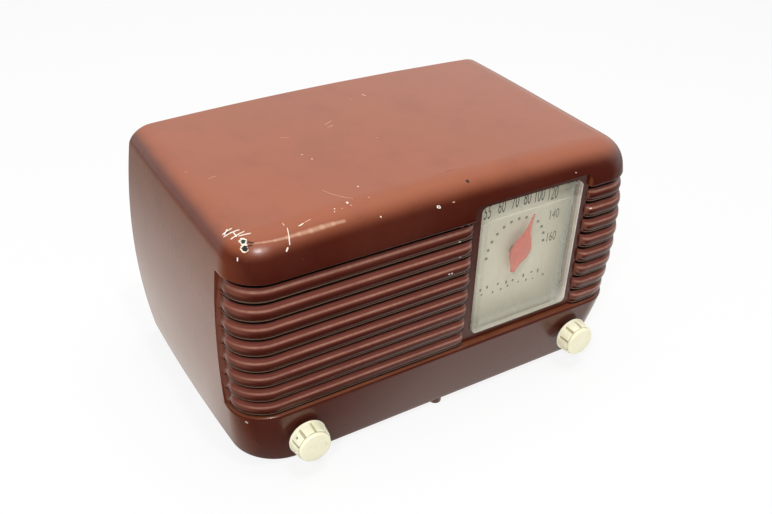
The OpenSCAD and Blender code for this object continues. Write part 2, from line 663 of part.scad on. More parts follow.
// Dial cord: round the drum, down both sides and twice round the spindle
dial_c_pt = [dial_x, dial_z];
spindle_pt = [knob_x, knob_z];
cord_big = drum_r + cord_d / 2 + move_gap / 2;
cord_small = spindle_r + cord_d / 2 + move_gap / 2;
run_v = spindle_pt - dial_c_pt;
run_a = atan2(run_v[1], run_v[0]);
run_b = acos((cord_big - cord_small) / norm(run_v));
function around(c, r, a, y) = [c[0] + r * cos(a), y, c[1] + r * sin(a)];
drum_arc = 360 - 2 * run_b;
arc_n = 30;
turn_n = 36;
wound = 360 * cord_turns + 2 * run_b;
drum_off = 0.3;
coil_off = 1.25 * cord_d * wound / 720;
cord_path = concat(
  [for (i = [0 : arc_n]) around(dial_c_pt, cord_big, run_a + run_b + 1.5 + (drum_arc - 1.5) * i / arc_n,
                                cord_y + mix(drum_off, -drum_off, i / arc_n))],
  [for (i = [0 : turn_n]) around(spindle_pt, cord_small, run_a - run_b + wound * i / turn_n,
                                 cord_y + mix(-coil_off, coil_off, i / turn_n))],
  [around(dial_c_pt, cord_big, run_a + run_b, cord_y + drum_off)]
);
module dial_cord() color([0.8, 0.75, 0.6]) placed() tube(cord_path, cord_d / 2, 6);

// Dial lamp and its holder, clipped to the dial bracket
lamp_x = dial_x - 26;
lamp_y = 16.5;
lamp_z = dial_z + 31;
module lamp_holder() color(brass_c) placed() {
  translate([lamp_x, lamp_y, lamp_z - 5]) difference() {
    cylinder(h = 9, r = 5);
    translate([0, 0, 2]) cylinder(h = 8, r = 4.3);
  }
  block(lamp_x - 3, lamp_x + 3, lamp_y + 4.4, panel_y0, lamp_z - 5, lamp_z - 3);
}
module dial_lamp() color([0.95, 0.93, 0.85, 0.6]) placed() translate([lamp_x, lamp_y, lamp_z - 2.8]) {
  cylinder(h = 8, r = 4.2);
  translate([0, 0, 7.8]) cylinder(h = 4, r = 3.8);
  translate([0, 0, 11.8]) sphere(r = 3.8);
}

// Cloth and baffle board behind the left grille
baffle_x0 = -108;
baffle_x1 = 6;
baffle_z0 = 39;
baffle_z1 = 130;
cloth_y = inner_y + fit_gap;
cloth_t = 0.6;
baffle_y = cloth_y + cloth_t;
baffle_t = 3;
cone_r = speaker_d / 2 - 11;
baffle_mx = (baffle_x0 + baffle_x1) / 2;
baffle_mz = (baffle_z0 + baffle_z1) / 2;
board_end = baffle_y + baffle_t;
speaker_screw_r = 1.5;
speaker_screw_at = [for (a = [45 : 90 : 315])
  [speaker_x + (speaker_d / 2 - 2.6) * cos(a), speaker_z + (speaker_d / 2 - 2.6) * sin(a)]];
module grille_cloth() color([0.55, 0.45, 0.33]) placed() difference() {
  y_plate(baffle_mx, baffle_mz, baffle_x1 - baffle_x0 - 1, baffle_z1 - baffle_z0 - 1, cloth_y, baffle_y, 2);
  for (p = baffle_pegs) y_rod(p[0], p[1], cloth_y - 1, baffle_y + 1, peg_r + fit_gap);
}
module baffle_board() color(board_c) placed() difference() {
  y_plate(baffle_mx, baffle_mz, baffle_x1 - baffle_x0, baffle_z1 - baffle_z0, baffle_y, board_end, 3);
  y_rod(speaker_x, speaker_z, baffle_y - 1, board_end + 1, cone_r + 3);
  for (p = baffle_pegs) y_rod(p[0], p[1], baffle_y - 1, board_end + 1, peg_r + fit_gap);
  for (p = speaker_screw_at) y_rod(p[0], p[1], baffle_y - 1, board_end + 1, speaker_screw_r + 0.1);
}
module baffle_clips() color(steel_c) placed() for (p = baffle_pegs)
  y_ring(p[0], p[1], board_end, board_end + 0.8, 3.8, clip_bore);
module speaker_screws() color(steel_c) placed() for (p = speaker_screw_at) {
  y_rod(p[0], p[1], baffle_y + 0.2, board_end + 1.2, speaker_screw_r);
  y_rod(p[0], p[1], board_end + 1.2, board_end + 2.4, 2.2);
}

// Loudspeaker: basket, magnet, cone, rolled edge, centring disc, voice coil
flange_y = baffle_y + baffle_t;
neck_y = flange_y + 26;
pot_y = neck_y + 2;
pot_end = flange_y + speaker_depth;
coil_r = 7.3;
module speaker_basket() color(steel_c) placed() difference() {
  y_turned(speaker_x, speaker_z, [
    [cone_r + 4, flange_y], [speaker_d / 2, flange_y], [speaker_d / 2, flange_y + 1.2],
    [cone_r + 6, flange_y + 1.2], [cone_r + 5.8, flange_y + 4], [23, neck_y - 4], [23, neck_y],
    [20, neck_y + 1], [20, pot_y], [12, pot_y], [12, neck_y], [18, neck_y], [18, neck_y - 3],
    [21.5, neck_y - 5], [cone_r + 4.5, flange_y + 4.4], [cone_r + 4.5, flange_y + 1.2], [cone_r + 4, flange_y + 1.2]
  ]);
  for (a = [0 : 90 : 270]) translate([speaker_x, 0, speaker_z]) rotate([0, a, 0])
    block(-11, 11, flange_y + 7, neck_y - 6, 20, 60);
  for (p = speaker_screw_at) y_rod(p[0], p[1], flange_y - 1, flange_y + 1.3, speaker_screw_r + 0.1);
}
module speaker_magnet() color(steel_c) placed() y_turned(speaker_x, speaker_z, [
  [0, pot_end], [19, pot_end], [19, pot_y], [coil_r + 0.6, pot_y], [coil_r + 0.6, pot_y + 3],
  [14, pot_y + 3], [14, pot_end - 3], [6.2, pot_end - 3], [6.2, pot_y - 1], [0, pot_y - 1]
]);
module speaker_cone() color([0.25, 0.22, 0.2]) placed() y_turned(speaker_x, speaker_z, [
  [coil_r, neck_y - 7], [cone_r - 0.4, flange_y + 3], [cone_r, flange_y + 3], [cone_r, flange_y + 3.6],
  [coil_r + 0.4, neck_y - 6.3], [coil_r, neck_y - 6.3]
]);
module cone_surround() color([0.2, 0.18, 0.16]) placed() y_turned(speaker_x, speaker_z, [
  [cone_r + 0.1, flange_y + 3], [cone_r + 1, flange_y + 2.1], [cone_r + 2.1, flange_y + 1.9],
  [cone_r + 3.2, flange_y + 2.5], [cone_r + 4.4, flange_y + 3], [cone_r + 4.4, flange_y + 3.6],
  [cone_r + 3, flange_y + 3.1], [cone_r + 2.1, flange_y + 2.5], [cone_r + 1.2, flange_y + 2.7],
  [cone_r + 0.1, flange_y + 3.6]
]);
module spider() color([0.6, 0.5, 0.3]) placed() y_ring(speaker_x, speaker_z, neck_y - 1.2, neck_y - 0.6, 17.8, coil_r + 0.1);
module voice_coil() color(brass_c) placed() y_ring(speaker_x, speaker_z, neck_y - 6.2, pot_y + 5, coil_r, coil_r - 0.6);
module dust_cap() color([0.22, 0.2, 0.18]) placed() y_turned(speaker_x, speaker_z, [
  [0, neck_y - 9.6], [3, neck_y - 9.2], [5, neck_y - 8.2], [coil_r - 0.1, neck_y - 6.9], [coil_r - 0.1, neck_y - 6.3],
  [5, neck_y - 7.4], [3, neck_y - 8.4], [0, neck_y - 8.9]
]);

// Output transformer: a laminated core and its winding
core_x = -56;
core_y = 74;
module output_transformer() color(steel_c) placed() difference() {
  block(core_x - 19, core_x + 19, core_y - 8, core_y + 8, deck_z, deck_z + 32);
  for (sx = [-1, 1]) block(core_x + sx * 9.5 - 4, core_x + sx * 9.5 + 4, core_y - 9, core_y + 9, deck_z + 6, deck_z + 26);
}
module transformer_coil() color([0.72, 0.5, 0.3]) placed() difference() {
  translate([core_x, core_y, deck_z + 6.3]) linear_extrude(19.4) rounded(26.4, 31, 4);
  block(core_x - 5.5, core_x + 5.5, core_y - 8.2, core_y + 8.2, deck_z, deck_z + 32);
}

// Cans on the deck
row_y = 74;
module can(x, y, h, r) translate([x, y, deck_z]) {
  cylinder(h = h - 1.5, r = r);
  translate([0, 0, h - 1.6]) cylinder(h = 1.6, r = r - 1.2);
}
module filter_capacitor() color([0.75, 0.76, 0.78]) placed() can(-12, row_y, 62, 12.7);
module if_can(x) {
  translate([x, row_y, deck_z]) linear_extrude(58) rounded(28, 28, 3);
  for (s = [-1, 1]) translate([x + s * 5, row_y, deck_z + 57.9]) cylinder(h = 1.6, r = 2.4);
}
module if_transformer_1() color(steel_c) placed() if_can(-96);
module if_transformer_2() color(steel_c) placed() if_can(97);

// Valves: glass, moulded base and socket
base_r = valve_d / 2 + 1.2;
base_h = 22;
wafer_t = 2.4;
module valve(x) translate([x, valve_y, deck_z + wafer_t + base_h])
  rotate_extrude() polygon([
    [0, 0], [valve_d / 2 - 0.4, 0], [valve_d / 2, 3],
    [valve_d / 2, valve_h - base_h - 16], [valve_d / 2 - 2, valve_h - base_h - 10],
    [valve_d / 2 - 6, valve_h - base_h - 5.4], [5, valve_h - base_h - 3], [0, valve_h - base_h - 2.4]
  ]);
module converter_valve() color(clear_c) placed() valve(valve_xs[4]);
module if_valve() color(clear_c) placed() valve(valve_xs[3]);
module detector_valve() color(clear_c) placed() valve(valve_xs[2]);
module output_valve() color(clear_c) placed() valve(valve_xs[1]);
module rectifier_valve() color(clear_c) placed() valve(valve_xs[0]);
module valve_bases() color(black_c) placed() for (x = valve_xs)
  translate([x, valve_y, deck_z + wafer_t]) cylinder(h = base_h, r = base_r);
module valve_sockets() color([0.35, 0.22, 0.12]) placed() for (x = valve_xs)
  translate([x, valve_y, deck_z]) {
    cylinder(h = wafer_t, r = base_r + 1);
    translate([0, 0, -9]) cylinder(h = 9.1, r = socket_r);
  }

// Small parts under the deck
module paper_capacitors() color([0.85, 0.76, 0.55]) placed()
  for (x = [-74, -36], y = [52, 68, 84]) translate([x - 15, y, 16]) rotate([0, 90, 0]) cylinder(h = 30, r = 5.5);
module resistors() color([0.45, 0.3, 0.2]) placed()
  for (x = [-76, -60, -44, -28], y = [38, 95]) translate([x - 6, y, 28]) rotate([0, 90, 0]) cylinder(h = 12, r = 2.4);

// Screws through the cabinet's bottom into the chassis flanges
module chassis_screws() color(steel_c) placed() for (sx = [-1, 1], y = screw_ys) translate([sx * screw_x, y, 0]) {
  cylinder(h = 9, r = screw_r);
  translate([0, 0, -1.8]) cylinder(h = 1.8, r = 3.6);
}

// Back cover: pressed board with vents, following the cavity's outline
cover_t = 2.4;
cover_z0 = floor_t + 0.6;
cover_top = case_h - wall - 0.9;
cover_r = 13.5;
function cover_w(z) = half_w(cover_y, z) - wall - 0.6;
cover_side = [for (z = [cover_z0, 30, 55, 80, 105, cover_top - cover_r]) [cover_w(z), z]];
function crowned(x, z) = [x, z - crown * x * x];
cover_arc = [for (a = [15 : 15 : 90])
  crowned(cover_w(cover_top - cover_r) - cover_r * (1 - cos(a)), cover_top - cover_r * (1 - sin(a)))];
cover_half = concat(cover_side, cover_arc, [for (x = [90, 60, 30]) crowned(x, cover_top)]);
inlet_x = -58;
inlet_z = 22;
inlet_r = 3.5;
module back_cover() color(board_c) placed() difference() {
  translate([0, cover_y + cover_t, 0]) rotate([90, 0, 0]) linear_extrude(cover_t)
    polygon(concat(cover_half, [for (p = turned(cover_half)) [-p[0], p[1]]]));
  for (x = [-84 : 12 : 84], z = [118, 34]) if (z > 100 || x > -30)
    y_plate(x, z, 5, 18, cover_y - 1, cover_y + cover_t + 1, 2.4);
  y_rod(inlet_x, inlet_z, cover_y - 1, cover_y + cover_t + 1, 6);
  for (sx = [-1, 1], z = boss_zs) y_rod(sx * boss_x, z, cover_y - 1, cover_y + cover_t + 1, 1.9);
}

// Loop aerial: a flat winding cemented inside the back cover
module loop_aerial() color([0.5, 0.28, 0.14]) placed() difference() {
  y_plate(0, 78, 208, 60, cover_y - 2.2, cover_y, 14);
  y_plate(0, 78, 176, 30, cover_y - 4, cover_y + 1, 8);
}

// Rubber grommet for the mains lead
module cord_grommet() color(black_c) placed() y_turned(inlet_x, inlet_z, [
  [inlet_r, cover_y - 1.6], [7.4, cover_y - 1.6], [7.8, cover_y - 1.2], [7.8, cover_y],
  [5.9, cover_y], [5.9, cover_y + cover_t], [7.8, cover_y + cover_t],
  [7.8, cover_y + cover_t + 1], [7.4, cover_y + cover_t + 1.4], [inlet_r, cover_y + cover_t + 1.4]
]);

module back_screws() color(steel_c) placed() for (sx = [-1, 1], z = boss_zs) {
  y_rod(sx * boss_x, z, cover_y - 8, cover_y + cover_t, 1.5);
  y_rod(sx * boss_x, z, cover_y + cover_t, cover_y + cover_t + 1.6, 3.4);
}

module rubber_feet() color(black_c) placed() for (sx = [-1, 1], y = foot_ys)
  translate([sx * foot_x, y, -foot_h]) cylinder(h = foot_h, r1 = 6.4, r2 = 7);

cabinet();
dial_lens();
dial_plate();
pointer();
lens_clips();
volume_knob();
tuning_knob();
volume_shaft();
tuning_shaft();
volume_control();
power_switch();
tuning_bushing();
chassis();
dial_bracket();
gang_support();
gang_frame();
gang_stator();
gang_rotor();
drive_drum();
cord_spring();
dial_cord();
lamp_holder();
dial_lamp();
grille_cloth();
baffle_board();
baffle_clips();
speaker_screws();
speaker_basket();
speaker_magnet();
speaker_cone();
cone_surround();
spider();
voice_coil();
dust_cap();
output_transformer();
transformer_coil();
filter_capacitor();
if_transformer_1();
if_transformer_2();
converter_valve();
if_valve();
detector_valve();
output_valve();
rectifier_valve();
valve_bases();
valve_sockets();
paper_capacitors();
resistors();
chassis_screws();
back_cover();
loop_aerial();
cord_grommet();
back_screws();
rubber_feet();
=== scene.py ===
"""Looks of a small moulded table radio: painted cabinet, clear dial window, ivory knobs.

Shapes are worked out in the cabinet's own millimetres: x from its middle, y from the
bottom edge of its front towards the back, z from its bottom rim. in_frame() moves points
to the frame, in metres."""

import math

import bmesh
import bpy
import numpy as np
from mathutils import Matrix, Vector
from mathutils.bvhtree import BVHTree


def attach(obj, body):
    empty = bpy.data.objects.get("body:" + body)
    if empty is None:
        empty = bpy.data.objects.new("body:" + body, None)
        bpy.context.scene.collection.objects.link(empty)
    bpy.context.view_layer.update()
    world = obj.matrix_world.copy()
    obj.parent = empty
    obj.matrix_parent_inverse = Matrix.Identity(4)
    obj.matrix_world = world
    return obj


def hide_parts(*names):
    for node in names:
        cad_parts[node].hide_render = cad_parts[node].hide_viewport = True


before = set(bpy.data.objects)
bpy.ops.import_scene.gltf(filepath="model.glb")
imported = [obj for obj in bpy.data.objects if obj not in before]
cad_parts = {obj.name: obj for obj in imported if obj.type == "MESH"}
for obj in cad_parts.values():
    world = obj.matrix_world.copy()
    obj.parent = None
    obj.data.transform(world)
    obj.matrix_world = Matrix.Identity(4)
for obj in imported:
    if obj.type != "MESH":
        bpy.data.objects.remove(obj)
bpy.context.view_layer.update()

MM = 0.001

# Driving dimensions of the cabinet, as the solids have them
CASE_W = 272.5
CASE_H = 149.9
CASE_D = 155.8
FRONT_SWELL = 7.5
WALL = 3.6
FLOOR_T = 3.5
ROUND_SIDE = 15.0
ROUND_FRONT = 24.0
CORNER_R = 22.0
CORNER_FLARE = 5.0
FOOT_H = 3.4
MID_Y = 69.0
SIDE_BOW = 0.0013
SIDE_BOW_Z = 75.0
FRONT_BOW = 0.0012
FRONT_BOW_Z = 80.0
PLAN_BOW = 0.00034
PLAN_BOW_Y = 100.0
PLAN_FADE_Z = 110.0
CROWN = 0.00017
LEAN = math.radians(7)
EDGE_R = 0.8

# The ribbed band
RIB_COUNT = 8
RIB_PITCH = 10.75
RIB_Z0 = 41.5
FIN_H = 0.35
RIB_DROP = 1.4
TOP_EDGE = 0.8
CREST_SKEW = 0.7
SLOT_H = 1.5
CREST_IN = 1.3
SIDE_RECESS = 3.2
EDGE_IN = 2.4
FIN_OUT = 0.5
STRIP_H = 0.3
STEP_H = 0.06
SILL_Z = 39.0
SILL_TOP = 40.75
BROW_GAP = 2.4
VALLEY = 1.0
FIN_SHARE = 0.01
TIP_ANGLE = 22
BROW_RISE = 0.5
BROW_Z = RIB_Z0 + RIB_COUNT * RIB_PITCH + BROW_RISE
MARGIN_Y = -1.2
INNER_Y = 2.4
BAND_SHARE = 0.022
RIB_END = 7.0
SLOT_IN = INNER_Y - MARGIN_Y + 0.6
BLIND_IN = 1.3

# The dial window and the knobs
DIAL_X = 53.6
DIAL_Z = 89.7
WINDOW_W = 72.4
WINDOW_H = 87.4
WINDOW_R = 3.5
MARGIN_W = 5.8
MARGIN_L = DIAL_X - WINDOW_W / 2 - MARGIN_W
MARGIN_R = DIAL_X + WINDOW_W / 2 + MARGIN_W
NOTCH_TOP = 136.4
KNOB_X = 96.3
KNOB_Z = 20.2
KNOB_BACK = -7.2
KNOB_FRONT = -17.8
SHAFT_R = 3.175


def in_frame(points):
    """Points in cabinet millimetres, as an array in the frame's metres."""
    return (np.asarray(points, float) + [0, -MID_Y, FOOT_H]) * MM


def add_object(name, data):
    made = bpy.data.objects.new(name, data)
    bpy.context.scene.collection.objects.link(made)
    return made


def mix(a, b, t):
    return a + (b - a) * t


def smooth(t):
    t = min(1.0, max(0.0, t))
    return t * t * (3 - 2 * t)


# Camera, at the photograph's viewpoint
CAM_AZ = -0.5701
CAM_EL = 0.5839
CAM_ROLL = -0.0418
CAM_AT = Vector(in_frame([-264.6, -343.6, 389.7]))
CAM_LENS = 42.937
CAM_SENSOR = 36.0
PHOTO_W, PHOTO_H = 772, 514

camera = add_object("camera", bpy.data.cameras.new("camera"))
camera.data.lens = CAM_LENS
camera.data.sensor_width = CAM_SENSOR
camera.data.clip_start = 0.02
camera.data.clip_end = 50
tilt = Matrix.Rotation(math.pi / 2 - CAM_EL, 4, "X") @ Matrix.Rotation(-CAM_ROLL, 4, "Z")
turn = Matrix.Rotation(CAM_AZ, 4, "Z") @ tilt
camera.matrix_world = Matrix.Translation(CAM_AT) @ turn
bpy.context.scene.camera = camera


def sight(u, v):
    """Unit direction from the camera through a pixel of the photograph."""
    focal = CAM_LENS / CAM_SENSOR * PHOTO_W
    return (turn @ Vector((u - PHOTO_W / 2, PHOTO_H / 2 - v, -focal))).normalized()


# Node materials
class Graph:
    """The node tree of a material or of the world, with short calls for the nodes used here."""

    def __init__(self, owner, shader="Principled BSDF"):
        self.owner = bpy.data.materials.new(owner) if isinstance(owner, str) else owner
        self.owner.use_nodes = True
        self.tree = self.owner.node_tree
        self.shader = self.tree.nodes[shader]
        self.coords = self.node("ShaderNodeTexCoord")
        self.where = self.coords.outputs["Object"]
        self.x, self.y, self.z = self.split(self.where)

    def node(self, kind, inputs=None, **settings):
        """A new node with its settings, and values or links for its inputs."""
        made = self.tree.nodes.new(kind)
        for key, value in settings.items():
            setattr(made, key, value)
        for key, value in (inputs or {}).items():
            self.feed(made.inputs[key], value)
        return made

    def feed(self, socket, value):
        if isinstance(value, bpy.types.NodeSocket):
            self.tree.links.new(value, socket)
        elif isinstance(value, (tuple, list)) and len(value) == 3 and len(socket.default_value) == 4:
            socket.default_value = (*value, 1)
        else:
            socket.default_value = value

    def split(self, vector):
        return tuple(self.node("ShaderNodeSeparateXYZ", {0: vector}).outputs)

    def math(self, operation, a, b=0.0, clamp=False):
        made = self.node("ShaderNodeMath", {0: a, 1: b}, operation=operation, use_clamp=clamp)
        return made.outputs[0]

    def times(self, product, *others):
        for value in others:
            product = self.math("MULTIPLY", product, value)
        return product

    def plus(self, a, b):
        return self.math("ADD", a, b)

    def minus(self, a, b):
        return self.math("SUBTRACT", a, b)

    def cabinet_mm(self):
        """The place on the surface, in the cabinet's millimetres."""
        x, y, z = (self.times(value, 1 / MM) for value in (self.x, self.y, self.z))
        return x, self.plus(y, MID_Y), self.minus(z, FOOT_H)

    def vector(self, operation, a, b=(0, 0, 0), **more):
        made = self.node("ShaderNodeVectorMath", {0: a, 1: b, **more}, operation=operation)
        return made.outputs["Value" if operation in ("DISTANCE", "DOT_PRODUCT") else "Vector"]

    def step(self, value, low, high):
        """Smoothly 0 to 1 as value goes from low to high, or 1 to 0 where low is above high."""
        ends = (low, high, 0, 1) if low < high else (high, low, 1, 0)
        inputs = dict(zip(("From Min", "From Max", "To Min", "To Max"), ends), Value=value)
        return self.node("ShaderNodeMapRange", inputs, interpolation_type="SMOOTHSTEP").outputs[0]

    def span(self, value, low, high, soft):
        """1 where value lies between low and high, with soft edges."""
        rise = self.step(value, low - soft, low + soft)
        return self.times(rise, self.step(value, high + soft, high - soft))

    def noise(self, scale, detail=2.0, rough=0.5, at=None):
        inputs = dict(Vector=at or self.where, Scale=scale, Detail=detail, Roughness=rough)
        return self.node("ShaderNodeTexNoise", inputs).outputs["Fac"]

    def blend(self, share, a, b):
        return self.node("ShaderNodeMix", {0: share, 6: a, 7: b}, data_type="RGBA").outputs[2]

    def value(self, share, a, b):
        return self.node("ShaderNodeMix", {0: share, 2: a, 3: b}, data_type="FLOAT").outputs[0]

    def mix_shaders(self, share, a, b):
        return self.node("ShaderNodeMixShader", {0: share, 1: a, 2: b}).outputs[0]

    def bump(self, height, distance, strength=1.0, **under):
        inputs = dict(Distance=distance, Strength=strength, Height=height, **under)
        return self.node("ShaderNodeBump", inputs).outputs[0]

    def set(self, **inputs):
        for key, value in inputs.items():
            self.feed(self.shader.inputs[key.replace("_", " ")], value)
        return self.owner


def plain(name, colour, spread, roughness, metallic=0.0, scale=60.0, bump=0.0, **more):
    """A material of one colour with mottling, uneven gloss and, if asked, fine relief."""
    g = Graph(name)
    coarse = g.noise(scale, 4)
    fine = g.noise(scale * 7, 3)
    dark = tuple(c * (1 - spread) for c in colour)
    light = tuple(min(1.0, c * (1 + spread)) for c in colour)
    tone = g.blend(g.step(coarse, 0.3, 0.7), dark, light)
    tone = g.blend(g.times(g.step(fine, 0.45, 0.75), spread), tone, tuple(c * 0.6 for c in colour))
    gloss = g.value(fine, max(0.02, roughness - 0.08), roughness + 0.08)
    if bump:
        g.set(Normal=g.bump(fine, bump))
    return g.set(Base_Color=tone, Roughness=gloss, Metallic=metallic, **more)


# Meshes
def new_object(name, points, faces, material=None):
    mesh = bpy.data.meshes.new(name)
    mesh.from_pydata([tuple(p) for p in in_frame(points)], [], faces)
    if material is not None:
        mesh.materials.append(material)
    return add_object(name, mesh)


def soften(obj, sharp=35):
    obj.data.shade_smooth()
    obj.data.set_sharp_from_angle(angle=math.radians(sharp))


def tidy_mesh(obj):
    """Merges doubled points and turns the faces outwards."""
    work = bmesh.new()
    work.from_mesh(obj.data)
    bmesh.ops.remove_doubles(work, verts=work.verts, dist=1e-7)
    bmesh.ops.recalc_face_normals(work, faces=work.faces)
    work.to_mesh(obj.data)
    work.free()


def skin_faces(count, n, first=0, caps=True):
    """Faces of a skin over count rings of n points, numbered from first, with flat ends."""
    faces = []
    for k in range(count - 1):
        low = first + k * n
        faces += [(low + i, low + (i + 1) % n, low + n + (i + 1) % n, low + n + i) for i in range(n)]
    if caps:
        faces.append(tuple(range(first + n - 1, first - 1, -1)))
        faces.append(tuple(first + (count - 1) * n + i for i in range(n)))
    return faces


def loft(name, rings, material=None, sharp=35, caps=True):
    """A closed skin over rings of equally many points, with flat ends."""
    faces = skin_faces(len(rings), len(rings[0]), caps=caps)
    obj = new_object(name, np.concatenate(rings), faces, material)
    tidy_mesh(obj)
    soften(obj, sharp)
    return obj


def circle(x, y, z, r, segments):
    """Points round a circle that faces along the depth."""
    angles = np.linspace(0, 2 * math.pi, segments, endpoint=False)
    return np.column_stack([x + r * np.cos(angles), np.full(segments, y), z + r * np.sin(angles)])


def turned(name, x, z, profile, material, segments):
    """A closed profile of (radius, depth) pairs turned about a line along the depth."""
    rings = [circle(x, y, z, r, segments) for r, y in [*profile, profile[0]]]
    return loft(name, rings, material, caps=False)


def rod(name, x, z, y0, y1, r, material=None, segments=32):
    return loft(name, [circle(x, y, z, r, segments) for y in (y0, y1)], material)


PER_CORNER = 8
PER_SIDE = 6


def rounded_loop(w, h, r, x, z):
    """Points round a rectangle with rounded corners, in x and z."""
    points = []
    in_x, in_z = w / 2 - r, h / 2 - r
    corners = ((1, 1, 0, (-in_x, h / 2)), (-1, 1, 90, (-w / 2, -in_z)),
               (-1, -1, 180, (in_x, -h / 2)), (1, -1, 270, (w / 2, in_z)))
    for sx, sz, start, side_end in corners:
        for i in range(PER_CORNER + 1):
            a = math.radians(start + 90 * i / PER_CORNER)
            points.append([x + sx * in_x + r * math.cos(a), z + sz * in_z + r * math.sin(a)])
        here = points[-1]
        for t in np.linspace(0, 1, PER_SIDE + 1)[1:-1]:
            points.append([mix(here[0], x + side_end[0], t), mix(here[1], z + side_end[1], t)])
    return np.array(points)


def plate_rings(steps, x, z):
    """Rings for loft() round (x, z), from steps of width, height, corner and depth. A fifth
    number in a step moves its ring up."""
    rings = []
    for w, h, r, y, *shift in steps:
        loop = rounded_loop(w, h, r, x, z + sum(shift))
        rings.append(np.column_stack([loop[:, 0], np.full(len(loop), y), loop[:, 1]]))
    return rings


def cut(obj, cutter):
    """Cuts obj with a closed mesh, which is then deleted."""
    modifier = obj.modifiers.new("cut", "BOOLEAN")
    modifier.operation = "DIFFERENCE"
    modifier.solver = "MANIFOLD"
    modifier.object = cutter
    graph = bpy.context.evaluated_depsgraph_get()
    mesh = bpy.data.meshes.new_from_object(obj.evaluated_get(graph))
    obj.modifiers.clear()
    obj.data = mesh
    bpy.data.objects.remove(cutter)


def join(name, objects):
    """One object from several, with the first one's materials."""
    points, faces, indices, count = [], [], [], 0
    for obj in objects:
        points.extend(tuple(v.co) for v in obj.data.vertices)
        faces.extend(tuple(count + i for i in p.vertices) for p in obj.data.polygons)
        indices.extend(p.material_index for p in obj.data.polygons)
        count = len(points)
    mesh = bpy.data.meshes.new(name)
    mesh.from_pydata(points, [], faces)
    made = add_object(name, mesh)
    for material in objects[0].data.materials:
        mesh.materials.append(material)
    mesh.polygons.foreach_set("material_index", indices)
    for obj in objects:
        bpy.data.objects.remove(obj)
    soften(made)
    return made


# Cabinet skin, from the same formulas as the solid with more stations and levels
OUTER = dict(inset=0, front=-FRONT_SWELL, bow=FRONT_BOW, top=CASE_H, side_r=ROUND_SIDE,
             front_r=ROUND_FRONT, corner=CORNER_R, flare=CORNER_FLARE, back=CASE_D, ribs=1)
INNER = dict(inset=WALL, front=INNER_Y, bow=0, top=CASE_H - WALL - 0.3, side_r=ROUND_SIDE - WALL,
             front_r=ROUND_FRONT - WALL - 3.4, corner=CORNER_R - 8, flare=2 * CORNER_FLARE,
             back=CASE_D + 1, ribs=0)
SLOT, RIB, PLAIN = range(3)


def half_w(y, z):
    fade = 1 if y > PLAN_BOW_Y else max(0, 1 - z / PLAN_FADE_Z)
    return CASE_W / 2 - SIDE_BOW * (z - SIDE_BOW_Z) ** 2 - fade * PLAN_BOW * (y - PLAN_BOW_Y) ** 2


def front_at(shell, z):
    return shell["front"] + shell["bow"] * (z - FRONT_BOW_Z) ** 2


def margin_in(z, phi):
    return mix(SIDE_RECESS, MARGIN_Y - front_at(OUTER, z), math.sin(phi) ** 2)


def rib_in(station, level, phi):
    """Inset of the ribbed surface. place runs from 0 to 1 across a rib, and from -1 to 0
    down its lower edge, which stands a little proud as a thin fin."""
    z, _, kind, place, _ = level
    base = margin_in(z, phi)
    grown = station["rib"]
    if kind == SLOT:
        deep = base + station["slot"]
    elif kind == RIB:
        fin = place < FIN_SHARE
        ends = base - (FIN_OUT * (1 if phi < 1.5 else grown) if fin else 0)
        slope = VALLEY * max(0, 1 - 2 * place) + TOP_EDGE * max(0, 2 * place - 1)
        full = EDGE_IN + (-FIN_OUT if fin else slope)
        edge = mix(ends, min(ends, full), grown)
        bulge = 0 if fin else max(0, grown ** 2 - (2 * place ** CREST_SKEW - 1) ** 2)
        deep = mix(edge, CREST_IN, bulge ** 0.7)
    else:
        deep = place * mix(base, min(base, EDGE_IN), grown)
    return station["band"] * deep


def shell_point(shell, station, level):
    z, angle, _, _, extra = level
    phi, side = station["phi"], station["side"]
    r_top = mix(shell["side_r"], shell["front_r"], math.sin(phi) ** 2)
    z0 = shell["top"] - r_top * (1 - math.sin(LEAN))
    if angle > 0:
        z = z0 + r_top * (math.sin(angle) - math.sin(LEAN))
        z_wall, push = z0, 0
        lean_in = r_top * (math.cos(LEAN) - math.cos(angle))
    else:
        z_wall, lean_in = z, 0
        push = shell["ribs"] * rib_in(station, level, phi) + extra
    corner = shell["corner"] + shell["flare"] * max(0, 1 - z / SILL_Z) - lean_in / 2
    inset = shell["inset"] + lean_in
    y_front = front_at(shell, z_wall) + lean_in
    y = mix(y_front + corner * (1 - math.sin(phi)), shell["back"], station["share"])
    if side:
        x = side * (half_w(y, z_wall) - inset - corner * (1 - math.cos(phi)) - math.cos(phi) * push)
    else:
        reach = half_w(y_front, z_wall) - inset - corner
        x = station["x"] * min(1, reach / (CASE_W / 2 - CORNER_R - 5))
    rise = min(1, max(0, (z - z0) / (shell["top"] - z0)))
    return [x, y + math.sin(phi) * push, z - CROWN * x * x * rise]


def station(side=0, phi=math.pi / 2, share=0, x=0, band=1, rib=0, slot=0):
    """One place round the plan. rib is how far the ribs have grown to their full size
    there, and slot is how far the slots go below the recess."""
    return dict(side=side, phi=phi, share=share, x=x, band=band, rib=rib, slot=slot)


def growth(t):
    """How far a rib has grown at a share of the way from its end: a rounded tip."""
    return math.sqrt(1 - (1 - min(1, max(0, t))) ** 2)


